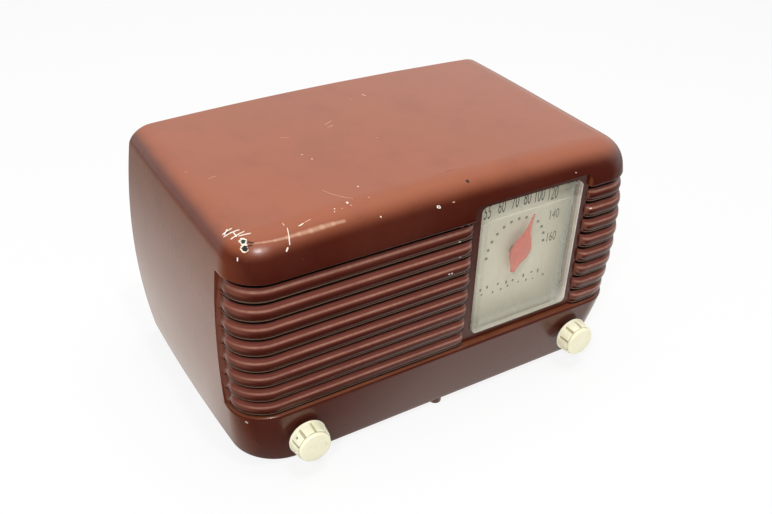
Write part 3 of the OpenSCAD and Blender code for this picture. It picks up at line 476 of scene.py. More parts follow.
def corner_stations(slot_in):
    """Stations of one side, from the back round to the start of the front."""
    made = [station(1, 0, share, band=0) for share in (1, 0.8, 0.6, 0.4, 0.2, 0.06, BAND_SHARE)]
    for t in (0.03, 0.08, 0.16, 0.28):
        made.append(station(1, 0, BAND_SHARE * (1 - t / 0.4), band=1 - (1 - t) ** 2.2, rib=t))
    for a in (0, 1, 2, 3, 4, 5):
        made.append(station(1, math.radians(a), band=1 - (1 - 0.4 - 0.12 * a) ** 2.2,
                            rib=growth((a + 1.5) / TIP_ANGLE), slot=0.12 * a))
    for a in [*np.arange(6.3, 30, 1.3), *np.arange(31, 89, 2.5), 90]:
        made.append(station(1, math.radians(a), rib=growth((a + 1.5) / TIP_ANGLE),
                            slot=mix(0.6, slot_in, smooth((a - 5) / 20))))
    return made


def front_stations():
    """Stations across the front: the slots, the plain margins, and the blind ribs' start."""
    made = [station(x=x, rib=1, slot=SLOT_IN) for x in np.linspace(-100, MARGIN_L - RIB_END, 12)]
    ends = [RIB_END * (1 - math.cos(a)) for a in np.linspace(math.pi / 2, 0, 14)][1:]
    made += [station(x=MARGIN_L - e, rib=growth(e / RIB_END), slot=SLOT_IN * smooth((e - 0.6) / 1.8))
             for e in ends]
    made += [station(x=x) for x in (MARGIN_L + 0.6, DIAL_X, MARGIN_R - 0.6)]
    made += [station(x=MARGIN_R + e, rib=growth(e / RIB_END), slot=BLIND_IN * smooth(e / 2))
             for e in ends[::-1]]
    made.append(station(x=MARGIN_R + RIB_END, rib=1, slot=BLIND_IN))
    return made


def level(z, kind=PLAIN, place=0.0, extra=0.0, angle=0.0):
    return (z, angle, kind, place, extra)


def arc_levels(count):
    return [level(0, angle=a) for a in np.linspace(LEAN, math.pi / 2, count)]


def outer_levels():
    made = [level(EDGE_R * (1 - math.sin(a)), extra=EDGE_R * (1 - math.cos(a)))
            for a in np.radians([90, 65, 40, 20, 0])]
    made += [level(z) for z in np.linspace(4, SILL_Z - 1.2, 12)]
    rise = ((0, 0), (0.2, 0.02), (0.4, 0.07), (0.55, 0.16), (0.7, 0.32), (0.84, 0.56), (0.95, 0.82), (1, 1))
    made += [level(mix(SILL_Z - 0.4, SILL_TOP, t), place=p) for t, p in rise]
    made.append(level(SILL_TOP + STEP_H, SLOT))
    for k in range(RIB_COUNT + 1):
        middle = RIB_Z0 + k * RIB_PITCH
        if k > 0:
            gap = BROW_GAP if k == RIB_COUNT else RIB_DROP
            made += [level(middle - gap - STEP_H, RIB, 1), level(middle - gap, SLOT)]
        if k == RIB_COUNT:
            break
        gap = BROW_GAP if k == RIB_COUNT - 1 else RIB_DROP
        low, high = middle + SLOT_H / 2 + STEP_H + FIN_H, middle + RIB_PITCH - gap - STRIP_H
        made += [level(middle + SLOT_H / 2, SLOT), level(middle + SLOT_H / 2 + STEP_H, RIB, -1)]
        made += [level(mix(low, high, (1 - math.cos(a)) / 2), RIB, (1 - math.cos(a)) / 2)
                 for a in np.linspace(0, math.pi, 21)]
    made.append(level(BROW_Z - 0.1, SLOT))
    made += [level(BROW_Z, place=0.5), level(BROW_Z + 0.1, place=0.22), level(BROW_Z + 0.35, place=0.07)]
    made += [level(BROW_Z + 0.8), level(BROW_Z + 1.6)]
    return made + arc_levels(22)


def inner_levels():
    return [level(z) for z in np.linspace(FLOOR_T, 118, 12)] + arc_levels(10)


def shell(name, shape, left_run, front_run, right_run, levels):
    """A solid through the levels' rings, closed flat below, behind and across the crowned top.
    The faces of the slots are bare moulding, as are all faces of the inside."""
    across = [dict(s, side=-1) for s in left_run] + front_run + right_run[::-1]
    n, half, cols = len(across), len(left_run), len(front_run)
    rings = [[shell_point(shape, s, lev) for s in across] for lev in levels]
    top = rings[-1]
    points = [p for ring in rings for p in ring]
    last, first_row = (len(rings) - 1) * n, len(points)
    end_x = abs(top[half - 1][0])
    for i in range(half - 1):
        for j in range(cols):
            x = abs(top[i][0]) * top[half + j][0] / end_x
            points.append([x, top[i][1], shape["top"] - CROWN * x * x])

    def cell(i, j):
        if j < 0:
            return last + i
        if j >= cols:
            return last + n - 1 - i
        return first_row + i * cols + j if i < half - 1 else last + half + j

    faces = [(k * n + i, k * n + i + 1, (k + 1) * n + i + 1, (k + 1) * n + i)
             for k in range(len(rings) - 1) for i in range(n - 1)]
    faces += [(k * n + n - 1, k * n, (k + 1) * n, (k + 1) * n + n - 1) for k in range(len(rings) - 2)]
    faces.append(tuple(range(n - 1, -1, -1)))
    faces.append((last - 1, last - n, last, *[cell(0, j) for j in range(cols)], last + n - 1))
    faces += [(cell(i, j), cell(i, j + 1), cell(i + 1, j + 1), cell(i + 1, j))
              for i in range(half - 1) for j in range(-1, cols)]
    obj = new_object(name, points, faces)
    inside = not shape["ribs"]

    def is_bare(k, i):
        grooved = min(across[i]["slot"], across[i + 1]["slot"]) > 0.3
        return inside or (grooved and SLOT in (levels[k][2], levels[k + 1][2]))

    bare = [is_bare(k, i) for k in range(len(rings) - 1) for i in range(n - 1)]
    bare += [inside] * (len(faces) - len(bare))
    for _ in range(2):
        obj.data.materials.append(None)
    obj.data.polygons.foreach_set("material_index", [int(b) for b in bare])
    tidy_mesh(obj)
    return obj


def notch_cutter():
    """The recess round the window, flared where it breaks through the brow."""
    w, h = WINDOW_W + 2 * MARGIN_W, NOTCH_TOP - DIAL_Z
    flare = [(MARGIN_Y, 0), (-2.7, 0), (-3.3, 0.08), (-3.8, 0.3), (-4.2, 0.65), (-4.6, 1.15), (-5.2, 2.2),
             (-12, 6)]
    steps = [(w + 2 * f, h + 2 * f, WINDOW_R + f, y) for y, f in flare]
    return loft("notch", plate_rings(steps, DIAL_X, (NOTCH_TOP + DIAL_Z) / 2))


# What is moulded on inside the cabinet, and what is cut out of it
BOSS_X = 122.0
BOSS_ZS = (14.0, 134.0)
BOSS_R = 5.5
BOSS_HOLE_R = 1.6
BOSS_FRONT = 136.0
COVER_Y = CASE_D - 5.2
SCREW_X = 90.0
SCREW_YS = (31.0, 131.0)
SCREW_HOLE = 2.3
VENT_XS = range(-66, 67, 12)
VENT_Y = 84.0
VENT_R = 2.0
VENT_STRETCH = 22.0
STRUT_XS = (-66, -32)
STRUT_W = 4.0
PEG_R = 1.4
LENS_PEGS = [(DIAL_X + s * (WINDOW_W / 2 + 7.2), z) for s in (-1, 1) for z in (60.0, 116.0)]
LENS_PEG_L = 4.2
BAFFLE_PEGS = [(x, RIB_Z0 + k * RIB_PITCH) for x in (-104.0, 2.2) for k in (0.5, 7.5)]
BAFFLE_PEG_L = 7.2
NIB_AT = (-1.0, 6.5)
NIB = [(0, 3.4), (0.06, 3.85), (0.2, 4.0), (1, 4.0)]
NIB_STRETCH = 5.0
POST_SIDES = 24


def upright(name, x, y, z0, z1, radii, stretch=0.0):
    """A round post along z, drawn out along y by stretch."""
    rings = []
    for t, r in radii:
        ring = []
        for a in np.linspace(0, 2 * math.pi, POST_SIDES, endpoint=False):
            drawn = math.copysign(stretch / 2, math.sin(a))
            ring.append([x + r * math.cos(a), y + r * math.sin(a) + drawn, mix(z0, z1, t)])
        rings.append(np.array(ring))
    return loft(name, rings)


def cut_openings(body):
    hole = [(WINDOW_W + 0.6, WINDOW_H + 0.6, WINDOW_R + 0.3, y) for y in (-20, INNER_Y + 3)]
    cut(body, loft("window", plate_rings(hole, DIAL_X, DIAL_Z)))
    cut(body, notch_cutter())
    for side in (-1, 1):
        cut(body, rod("hole", side * KNOB_X, KNOB_Z, -20, INNER_Y + 10, SHAFT_R + 1.8))
        for y in SCREW_YS:
            cut(body, upright("hole", side * SCREW_X, y, -1, FLOOR_T + 1, [(0, SCREW_HOLE), (1, SCREW_HOLE)]))
    for x in VENT_XS:
        cut(body, upright("vent", x, VENT_Y, -1, FLOOR_T + 1, [(0, VENT_R), (1, VENT_R)], VENT_STRETCH))


def moulded_inside():
    """Struts behind the slots, pegs for the clips and bosses for the back cover."""
    made = []
    for x in STRUT_XS:
        steps = [(STRUT_W, BROW_Z - SILL_TOP, 0.4, y) for y in (INNER_Y - 2, INNER_Y + 0.1)]
        made.append(loft("strut", plate_rings(steps, x, (BROW_Z + SILL_TOP) / 2)))
    for pegs, length in ((LENS_PEGS, LENS_PEG_L), (BAFFLE_PEGS, BAFFLE_PEG_L)):
        made += [rod("peg", x, z, INNER_Y - 0.3, INNER_Y + length, PEG_R) for x, z in pegs]
    boss = [(BOSS_HOLE_R, BOSS_FRONT), (BOSS_HOLE_R, COVER_Y), (BOSS_R, COVER_Y), (BOSS_R, BOSS_FRONT + 2),
            (BOSS_R - 0.9, BOSS_FRONT)]
    made += [turned("boss", side * BOSS_X, z, boss, None, 32) for side in (-1, 1) for z in BOSS_ZS]
    for piece in made:
        piece.data.polygons.foreach_set("material_index", [1] * len(piece.data.polygons))
    return made


def build_cabinet():
    body = shell("cabinet_body", OUTER, corner_stations(SLOT_IN), front_stations(),
                 corner_stations(BLIND_IN), outer_levels())
    rounds = ((0, 1), (0, 0.5), (0, 0), (20, 0), (40, 0), (65, 0), (90, 0))
    inside = [station(1, math.radians(a), share) for a, share in rounds]
    cut(body, shell("cavity", INNER, inside, [station(x=x) for x in (-90, 0, 90)], inside, inner_levels()))
    cut_openings(body)
    nib = upright("nib", *NIB_AT, -FOOT_H, 1, NIB, NIB_STRETCH)
    whole = join("cabinet_moulding", [body, *moulded_inside(), nib])
    soften(whole, 34)
    return whole


# Paint
# FRONT_PAINT is darkened as painted shade on the front. TOP_PAINT is lighter: sun-faded paint together with
# painted light on the up-facing top.
FRONT_PAINT = (0.052, 0.006, 0.002)
TOP_PAINT = (0.305, 0.086, 0.038)
SIDE_PAINT = (0.166, 0.046, 0.018)
CORNER_PAINT = (0.115, 0.022, 0.008)
RECESS_SHEEN_PAINT = (0.15, 0.052, 0.034)
SILL_LIT_PAINT = (0.19, 0.06, 0.025)
LOW_PAINT = (0.078, 0.017, 0.010)
PATCH_PAINT = (0.24, 0.078, 0.042)
SOILED_PAINT = (0.05, 0.012, 0.008)
FIN_SHEEN_PAINT = (0.22, 0.15, 0.10)
RIB_TOP_LIGHT_PAINT = (0.175, 0.048, 0.034)
RIB_UNDER_SHADE_PAINT = (0.045, 0.005, 0.002)
RUBBED_HIGHLIGHT_PAINT = (0.46, 0.25, 0.18)
RIDGE_HIGHLIGHT_PAINT = (0.60, 0.36, 0.24)
SPECK_PAINT = (0.5, 0.36, 0.3)
BARE = (0.74, 0.67, 0.56)
DARK_CHIP = (0.02, 0.012, 0.01)
GREEN_CHIP = (0.02, 0.035, 0.018)
WORN = (0.62, 0.38, 0.28)
FADED = (0.46, 0.24, 0.16)
CHIP_COLOURS = [BARE, WORN, FADED, DARK_CHIP, GREEN_CHIP]

# Chips and scratches: start and end pixel in the photograph, half width in mm, and colour
CHIPS = [
    (222.5, 234.6, 231.5, 228.4, 0.36, BARE), (224, 236.8, 239, 229.8, 0.4, BARE),
    (231, 239, 244, 231.4, 0.32, BARE), (239, 236, 250.5, 233.2, 0.32, BARE),
    (227, 229.5, 224.5, 234.5, 0.4, BARE), (233.5, 232.5, 236.5, 236.5, 0.28, BARE),
    (226.9, 233.4, 228.6, 231.4, 0.4, DARK_CHIP), (242.2, 240.4, 243.8, 242.4, 1.75, BARE),
    (244.2, 247.2, 244.4, 249.6, 1.8, BARE), (242.9, 241.3, 243.3, 241.9, 1.1, GREEN_CHIP),
    (244.8, 248, 245, 249.2, 1.35, DARK_CHIP), (247, 241.9, 253.4, 243.1, 0.4, DARK_CHIP),
    (247.2, 246.2, 251.8, 245.4, 0.36, DARK_CHIP), (237.5, 258.2, 237.4, 260.8, 0.32, BARE),
    (287.3, 228, 288.9, 236.5, 0.24, BARE), (288.9, 236.5, 289.7, 244.8, 0.28, BARE),
    (286.5, 251, 287.7, 248, 0.4, BARE), (299, 225.9, 303.4, 223.3, 0.32, BARE),
    (304.5, 222.4, 310.6, 219.3, 0.2, WORN), (282.4, 223, 284.2, 225.6, 0.25, WORN),
    (301.7, 154.5, 302.2, 154.6, 0.32, BARE), (311.7, 158.8, 312.2, 159, 0.36, BARE),
    (357.8, 186.2, 358.2, 186.6, 0.36, BARE), (347, 202.3, 347.5, 202.9, 0.6, BARE),
    (350.5, 205, 351.9, 205.4, 0.25, WORN), (368.2, 197.1, 369.4, 197.4, 0.25, WORN),
    (334.4, 208.6, 334.6, 208.9, 0.28, BARE), (342, 208.2, 342.2, 208.5, 0.24, WORN),
    (334.5, 211.5, 334.6, 211.9, 0.24, BARE), (380.6, 216.6, 381, 217, 0.36, BARE),
    (438, 206.8, 439.6, 207.2, 0.8, BARE), (438.6, 206.9, 439.1, 207.2, 0.36, DARK_CHIP),
    (467.2, 181, 467.8, 181.4, 0.9, DARK_CHIP), (453, 202.3, 454.6, 202, 0.24, WORN),
    (461, 227.3, 463.4, 226.7, 0.28, BARE), (468, 225, 470.2, 224.4, 0.28, BARE),
    (459.4, 242.3, 460.2, 242, 0.4, BARE), (459.5, 257.6, 460.3, 257.2, 0.4, BARE),
    (449, 274.4, 449.6, 274.2, 0.4, BARE), (451.6, 273.6, 452.2, 273.4, 0.4, BARE),
    (590, 208.6, 591.4, 208.2, 0.4, BARE), (575.6, 172.5, 576.4, 172.7, 0.32, WORN),
    (246.3, 422.2, 246.8, 422.6, 0.7, BARE), (246.4, 422.3, 246.6, 422.5, 0.32, DARK_CHIP),
    (322, 190, 330, 193.4, 0.22, FADED), (330, 193.4, 338.3, 195.8, 0.28, FADED),
    (338.3, 195.8, 346, 197.4, 0.25, FADED), (346, 197.4, 353, 198.4, 0.2, FADED),
    (325, 124.5, 331, 121, 0.4, FADED), (328, 127, 333, 125.4, 0.4, FADED),
    (362, 94.4, 365.5, 95.6, 0.4, WORN), (349, 99, 351.5, 99.4, 0.24, FADED),
    (185, 171.6, 187, 172.4, 0.2, FADED), (208.5, 178.6, 215.5, 176, 0.25, FADED),
    (280.5, 137.4, 289, 137.6, 0.2, FADED), (376.5, 137.4, 378, 138, 0.24, FADED),
]

# The ridge over the front, rubbed paint with a painted highlight, as points along it and half width there in
# mm
RIDGE = [((253, 243.6), 0.2), ((264, 242.3), 0.28), ((275, 240.4), 0.35), ((287, 237.4), 0.45),
         ((299, 234), 0.55), ((311, 230.6), 0.7), ((322, 227), 0.75), ((333, 223.8), 0.6), ((344, 221), 0.4)]


def ridge_mask(g, start, end, half_width, obj):
    """1 near the segment between two points of the surface, fading off to 0."""
    ends = []
    for pixel in (start, end):
        _, at, _, _ = obj.ray_cast(CAM_AT, sight(*pixel))
        ends.append(at)
    along = ends[1] - ends[0]
    length_2 = max(along.length_squared, 1e-9)
    offset = g.vector("SUBTRACT", g.where, tuple(ends[0]))
    share = g.math("DIVIDE", g.vector("DOT_PRODUCT", offset, tuple(along)), length_2, clamp=True)
    nearest = g.vector("SCALE", tuple(along), Scale=share)
    distance = g.vector("DISTANCE", offset, nearest)
    return g.step(distance, half_width * MM * 1.5, half_width * MM * 0.1)


def paint_material(obj):
    """The paint as coats over the front's colour, each with the share of it that shows. Some coats are
    painted light and shade: the lit top, lit upper and shaded lower rib faces, highlights on rib crests and
    the ridge, reflections on fins and the side recess.
    """
    g = Graph("cabinet_paint")
    x, y, z = g.cabinet_mm()
    nx, _, nz = g.split(g.coords.outputs["Normal"])
    sideways = g.math("ABSOLUTE", nx)
    patches = g.noise(14, 5, 0.6)
    cloudy = g.noise(45, 4, 0.6)
    grain = g.noise(420, 3, 0.6)
    # Sun-faded paint with painted light, where the surface faces up near the top
    on_top = g.times(g.step(nz, 0.6, 0.97), g.step(z, 130, 146))
    side = g.step(sideways, 0.45, 0.95)
    # Painted reflection on the sideways-facing recess where the ribs start
    recess = g.times(g.span(z, SILL_TOP, BROW_Z, 0.3), g.step(y, 18.2, 17.2), side)
    on_front = g.times(g.step(y, 22, 17), g.step(z, BROW_Z + 2, BROW_Z))
    # Painted light with wear on the up-facing sill ledge under the ribs
    sill = g.times(g.span(z, SILL_TOP - 0.75, SILL_TOP + 0.1, 0.2), on_front)
    low = g.times(g.step(z, SILL_Z + 0.6, SILL_Z), g.step(side, 0.6, 0.0))
    phase = g.math("FRACT", g.math("DIVIDE", g.minus(z, RIB_Z0), RIB_PITCH))
    in_ribs = g.times(g.span(z, RIB_Z0 - 1, BROW_Z + 0.4, 0.3), g.step(y, 13, 10.5),
                      g.minus(1.0, g.span(x, MARGIN_L - 0.5, MARGIN_R + 0.5, 0.5)))
    # Painted light on the upper, up-facing part of each rib
    upper = g.times(g.step(phase, 0.40, 0.62), g.step(phase, 1.0, 0.78), in_ribs)
    # crest and worn: rubbed paint with a painted highlight along the crest of each rib
    crest = g.times(g.step(phase, 0.54, 0.61), g.step(phase, 0.71, 0.65), in_ribs)
    worn = g.times(g.value(g.step(grain, 0.25, 0.75), 0.6, 1.0), g.value(side, 1.0, 0.35),
                   g.value(cloudy, 0.25, 0.95))
    specks = g.times(g.step(g.noise(900, 2, 0.5), 0.77, 0.82), g.step(cloudy, 0.5, 0.65))
    coats = [
        (side, CORNER_PAINT),
        (g.step(sideways, 0.88, 0.99), SIDE_PAINT),
        (recess, RECESS_SHEEN_PAINT),
        (on_top, TOP_PAINT),
        (g.times(g.step(patches, 0.35, 0.75), g.value(on_top, 0.12, 0.35)), PATCH_PAINT),
        (g.times(g.step(cloudy, 0.45, 0.8), g.value(on_top, 0.3, 0.13)), SOILED_PAINT),
        (g.times(sill, g.value(cloudy, 0.3, 1.0)), SILL_LIT_PAINT),
        (low, LOW_PAINT),
        # Painted reflection with light wear on the thin fin at the foot of each rib
        (g.times(g.span(phase, 0.07, 0.12, 0.01), in_ribs, 0.5), FIN_SHEEN_PAINT),
        (g.times(upper, g.value(cloudy, 0.6, 1.0)), RIB_TOP_LIGHT_PAINT),
        # Painted shade on the lower, down-facing part of each rib
        (g.times(g.span(phase, 0.15, 0.36, 0.05), in_ribs, 0.7), RIB_UNDER_SHADE_PAINT),
        (g.times(crest, worn), RUBBED_HIGHLIGHT_PAINT),
    ]
    # Rubbed paint with a painted highlight along the ridge
    for (start, wide_start), (end, wide_end) in zip(RIDGE, RIDGE[1:]):
        coats.append((g.times(ridge_mask(g, start, end, wide_start + wide_end, obj), 0.5), RIDGE_HIGHLIGHT_PAINT))
    coats.append((g.times(specks, 0.5), SPECK_PAINT))
    colour = FRONT_PAINT
    for share, coat in coats:
        colour = g.blend(share, colour, coat)
    peel = g.bump(g.noise(260, 2, 0.5), 0.00012, 0.5)
    relief = g.bump(grain, 0.00003, 0.4, Normal=peel)
    return g.set(Base_Color=colour, Roughness=g.value(patches, 0.18, 0.29), IOR=1.46, Normal=relief)


cabinet = build_cabinet()
cabinet.data.materials[0] = paint_material(cabinet)
cabinet.data.materials[1] = plain("bare_moulding", (0.014, 0.008, 0.006), 0.3, 0.75, 0.0, 90, 0.00002,
                                  Specular_IOR_Level=0.25)
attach(cabinet, "radio")
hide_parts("cabinet")

# How far the flakes stand out of the skin and go into it, in mm
FLAKE_OUT = 0.015
FLAKE_OUT_DARK = 0.03
FLAKE_IN = 0.03


def chip_rows(skin, start, end, half_width, seed):
    """Rows of left, middle and right points of one chip, with the skin's normals there."""
    ends = []
    for pixel in (start, end):
        at, normal, _, _ = skin.ray_cast(CAM_AT, sight(*pixel))
        ends.append(at)
    along = ends[1] - ends[0]
    length = along.length / MM
    along.normalize()
    across = normal.cross(along)
    across.normalize()
    count = min(24, max(8, int((length + 2 * half_width) / 0.6)))
    rows = []
    for i in range(count + 1):
        reach = mix(-half_width, length + half_width, i / count)
        beyond = max(-reach, reach - length, 0)
        wide = math.sqrt(max(0.01, half_width ** 2 - beyond ** 2))
        row = []
        for side in (-1, 0, 1):
            ragged = 1 + 0.3 * math.sin(2.3 * i + 1.7 * side + seed) * math.sin(1.1 * i + 3.1 * seed)
            at = ends[0] + along * reach * MM + across * side * wide * ragged * MM
            near, facing, _, _ = skin.find_nearest(at)
            row.append((near, facing))
        rows.append(row)
    return rows


def build_chips():
    """Chips of the paint, as closed flakes no thicker than the paint on the cabinet's skin."""
    skin = BVHTree.FromPolygons([v.co for v in cabinet.data.vertices],
                                [tuple(p.vertices) for p in cabinet.data.polygons])
    points, faces, kinds = [], [], []
    for number, (u0, v0, u1, v1, half_width, colour) in enumerate(CHIPS):
        rows = chip_rows(skin, (u0, v0), (u1, v1), half_width, 1.3 * number)
        proud = FLAKE_OUT_DARK if colour in (DARK_CHIP, GREEN_CHIP) else FLAKE_OUT
        made = skin_faces(len(rows), 6, len(points))
        for row in rows:
            points += [near + facing * proud * MM for near, facing in row[::-1]]
            points += [near - facing * FLAKE_IN * MM for near, facing in row]
        faces += made
        kinds += [CHIP_COLOURS.index(colour)] * len(made)
    mesh = bpy.data.meshes.new("paint_chips")
    mesh.from_pydata([tuple(p) for p in points], [], faces)
    obj = add_object("paint_chips", mesh)
    for i, colour in enumerate(CHIP_COLOURS):
        mesh.materials.append(plain("chip_" + str(i), colour, 0.12, 0.7, scale=900))
    mesh.polygons.foreach_set("material_index", kinds)
    return obj


chips = build_chips()
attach(chips, "radio")

# Dial window
LENS_FRONT = -3.2
LENS_DISH = 2.4
LENS_T = 1.6
FLANGE_Y = INNER_Y + 0.2
FLANGE_T = 1.4
LENS_HAZE = 0.2
SIDE_RIM = 5.75
TOP_RIM = 9.7
LOW_RIM = 1.8


def lens_material():
    """Clear plastic gone hazy, more so at its edges: much of what is behind it shows through."""
    g = Graph("clear_plastic")
    haze = g.noise(30, 4, 0.6)
    scuffs = g.noise(300, 3, 0.6, g.vector("MULTIPLY", g.where, (1, 1, 0.25)))
    at_x, at_y, at_z = g.cabinet_mm()
    x = g.minus(at_x, DIAL_X)
    z = g.minus(at_z, DIAL_Z)
    crease = WINDOW_W / 2 - SIDE_RIM
    top_crease = WINDOW_H / 2 - TOP_RIM
    rim = g.step(x, crease - 0.3, crease + 1)
    above = g.step(z, top_crease - 0.2, top_crease + 0.6)
    low = g.step(z, 16 - WINDOW_H / 2, 3 - WINDOW_H / 2)
    left = g.times(g.step(x, 7 - WINDOW_W / 2, 4 - WINDOW_W / 2), g.minus(1.0, above), 0.5)
    # line: painted highlight along the top crease of the lens
    line = g.times(g.span(z, top_crease - 1.0, top_crease - 0.4, 0.35),
                   g.step(g.math("ABSOLUTE", x), crease + 0.5, crease - 1))
    shade = g.times(g.step(x, crease - 6, crease - 1.2), g.step(x, crease + 0.6, crease - 0.6),
                    g.value(haze, 0.5, 1.0))
    # edge: painted highlight along the lens's right edge
    edge = g.step(x, WINDOW_W / 2 - 1.5, WINDOW_W / 2 - 0.9)
    tone = g.blend(g.step(haze, 0.3, 0.75), (0.72, 0.69, 0.57), (0.64, 0.62, 0.49))
    tone = g.blend(g.times(above, 0.5), tone, (0.40, 0.38, 0.27))
    tone = g.blend(g.times(line, 0.9), tone, (0.88, 0.86, 0.76))
    tone = g.blend(shade, tone, (0.44, 0.45, 0.40))
    tone = g.blend(edge, tone, (0.86, 0.78, 0.72))
    dull = g.plus(g.value(rim, LENS_HAZE, 1.5 * LENS_HAZE), g.times(g.step(scuffs, 0.5, 0.8), 0.08))
    dull = g.times(dull, g.value(above, 1.0, 0.75))
    dull = g.plus(dull, g.times(g.math("MAXIMUM", low, left), 0.24))
    marked = g.math("MAXIMUM", g.times(line, 0.9), g.math("MAXIMUM", shade, edge))
    dull = g.plus(dull, g.times(marked, 0.3))
    dull = g.times(dull, g.value(g.step(at_y, 0.1, 0.6), 1.0, 0.15))
    return g.set(Base_Color=tone, Roughness=g.value(haze, 0.12, 0.22), IOR=1.49, Alpha=dull,
                 Normal=g.bump(scuffs, 0.00002, 0.4))


def build_lens():
    w, h, r = WINDOW_W, WINDOW_H, WINDOW_R
    dish_w, dish_h = w - 2 * SIDE_RIM, h - LOW_RIM - TOP_RIM
    drop = -(TOP_RIM - LOW_RIM) / 2
    bed = LENS_FRONT + LENS_DISH
    back_w, back_h, back_r = w - 2 * LENS_T, h - 2 * LENS_T, r - LENS_T
    flange_end = FLANGE_Y + FLANGE_T
    steps = [(dish_w * s, dish_h * s, r * s, bed + 0.25 * (1 - s * s), drop)
             for s in (0.04, 0.35, 0.65, 0.85, 0.96)]
    steps.append((dish_w, dish_h, r, bed - 0.04, drop))
    for t in (0.06, 0.16, 0.4, 0.7, 0.94):
        rise = LENS_DISH * t ** 0.9
        steps.append((mix(dish_w, w - 1.8, t), mix(dish_h, h - 1.8, t), r, bed - rise, drop * (1 - t)))
    for inset, y in ((0.75, 0), (0.35, 0.06), (0.1, 0.3), (0, 0.75), (0, FLANGE_Y - 0.02 - LENS_FRONT)):
        steps.append((w - 2 * inset, h - 2 * inset, r - inset, LENS_FRONT + y))
    steps += [(w + 9.6, h - 4.4, r, FLANGE_Y, -3), (w + 10, h - 4, r, FLANGE_Y + 0.2, -3)]
    steps += [(w + 10, h - 4, r, flange_end, -3), (back_w, back_h, back_r, flange_end)]
    steps.append((back_w, back_h, back_r, bed + LENS_T + 0.6))
    steps.append((back_w - 0.8, back_h - 0.8, back_r, bed + LENS_T + 0.1))
    steps += [((w - 5) * s, (h - 5) * s, 3 * s, bed + LENS_T) for s in (1, 0.5, 0.04)]
    return loft("dial_window", plate_rings(steps, DIAL_X, DIAL_Z), lens_material(), 50)


lens = build_lens()
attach(lens, "radio")
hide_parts("dial_lens")

# Dial plate and its print
PLATE_Y = 8.8
PLATE_T = 0.8
PLATE_W = 83.0
PLATE_H = 97.0
PLATE_Z = DIAL_Z - 1.5
DOT_RING_R = 21.7
DOT_R = 1.0


def card_material():
    g = Graph("dial_card")
    stains = g.noise(22, 5, 0.6)
    grain = g.noise(700, 2)
    tone = g.blend(g.step(stains, 0.35, 0.75), (0.73, 0.70, 0.56), (0.65, 0.61, 0.47))
    tone = g.blend(g.times(grain, 0.12), tone, (0.5, 0.46, 0.35))
    return g.set(Base_Color=tone, Roughness=0.6, Normal=g.bump(grain, 0.00002, 0.3))


plate_steps = [(0.5, 0.5, 0.1, PLATE_Y), (PLATE_W - 0.6, PLATE_H - 0.6, 2.7, PLATE_Y),
               (PLATE_W, PLATE_H, 3, PLATE_Y + 0.3), (PLATE_W, PLATE_H, 3, PLATE_Y + PLATE_T)]
card = loft("dial_card", plate_rings(plate_steps, DIAL_X, PLATE_Z), card_material(), 40)
cut(card, rod("hole", DIAL_X, DIAL_Z, PLATE_Y - 1, PLATE_Y + 2, SHAFT_R + 1.2))
soften(card)
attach(card, "radio")
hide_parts("dial_plate")

print_material = plain("dial_ink", (0.05, 0.065, 0.045), 0.3, 0.6, scale=200)
faded_print = plain("faded_ink", (0.13, 0.135, 0.085), 0.35, 0.6, scale=200)


def number(text, x, z, height, squeeze):
    """A plain number standing upright on the dial plate."""
    curve = bpy.data.curves.new("number", "FONT")
    curve.body = text
    curve.size = height / 0.7
    curve.align_x = "CENTER"
    curve.align_y = "CENTER"
    curve.extrude = 0.03
    curve.resolution_u = 4
    shape = add_object("number", curve)
    graph = bpy.context.evaluated_depsgraph_get()
    graph.update()
    mesh = bpy.data.meshes.new_from_object(shape.evaluated_get(graph))
    bpy.data.objects.remove(shape)
    points = [(x + v.co.x * squeeze, PLATE_Y - 0.03 + v.co.z, z + v.co.y) for v in mesh.vertices]
    faces = [tuple(p.vertices) for p in mesh.polygons]
    return new_object("number", points, faces, print_material)


NUMBERS = [("55", -24.4, 32.2, 9.4, 0.42), ("60", -14.2, 33.6, 9.4, 0.42), ("70", -4.4, 34.2, 9.4, 0.42),
           ("80", 4.6, 34.2, 9.4, 0.42), ("100", 13.6, 33.6, 9.4, 0.42), ("120", 24.0, 32.2, 9.4, 0.42),
           ("140", 27.4, 16.8, 6.6, 0.6), ("160", 27.7, 0.7, 6.6, 0.6)]
# The rows of short marks, as (height on the plate, shift to the right, height of a mark)
TICK_ROWS = [(-22.5, 0.0, 2.6), (-26.5, 3.0, 1.7)]
TICK_START = DIAL_X - 24
TICK_PITCH = 6.6
TICK_W = 1.3


def dial_dots():
    """A small dot every 15 degrees of the upper half of the pointer's path."""
    made = []
    for a in np.radians(range(180, -1, -15)):
        x, z = DIAL_X + DOT_RING_R * math.cos(a), DIAL_Z + DOT_RING_R * math.sin(a)
        made.append(rod("dot", x, z, PLATE_Y - 0.14, PLATE_Y + 0.1, DOT_R, faded_print, 16))
    return made


def dial_ticks():
    """Plain short marks low on the plate, unevenly spaced and of uneven height."""
    made = []
    for row_z, shift, tall in TICK_ROWS:
        for i in range(8):
            x = TICK_START + shift + TICK_PITCH * i + 1.1 * math.sin(2.1 * i + row_z)
            z = DIAL_Z + row_z + 0.7 * math.sin(1.3 * i + shift)
            high = tall * (0.8 + 0.3 * math.sin(3.0 * i))
            steps = [(TICK_W, high, 0.4, y) for y in (PLATE_Y - 0.06, PLATE_Y + 0.05)]
            made.append(loft("tick", plate_rings(steps, x, z), faded_print))
    return made


numbers = [number(text, DIAL_X + x, DIAL_Z + z, h, s) for text, x, z, h, s in NUMBERS]
for name, printed in (("dial_numbers", numbers), ("dial_marks", dial_dots() + dial_ticks())):
    ink = join(name, printed)
    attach(ink, "radio")

# Pointer
POINTER_Y = 4.0
POINTER_T = 0.6
HUB_END = 7.6
POINTER_REST = math.radians(72.7)

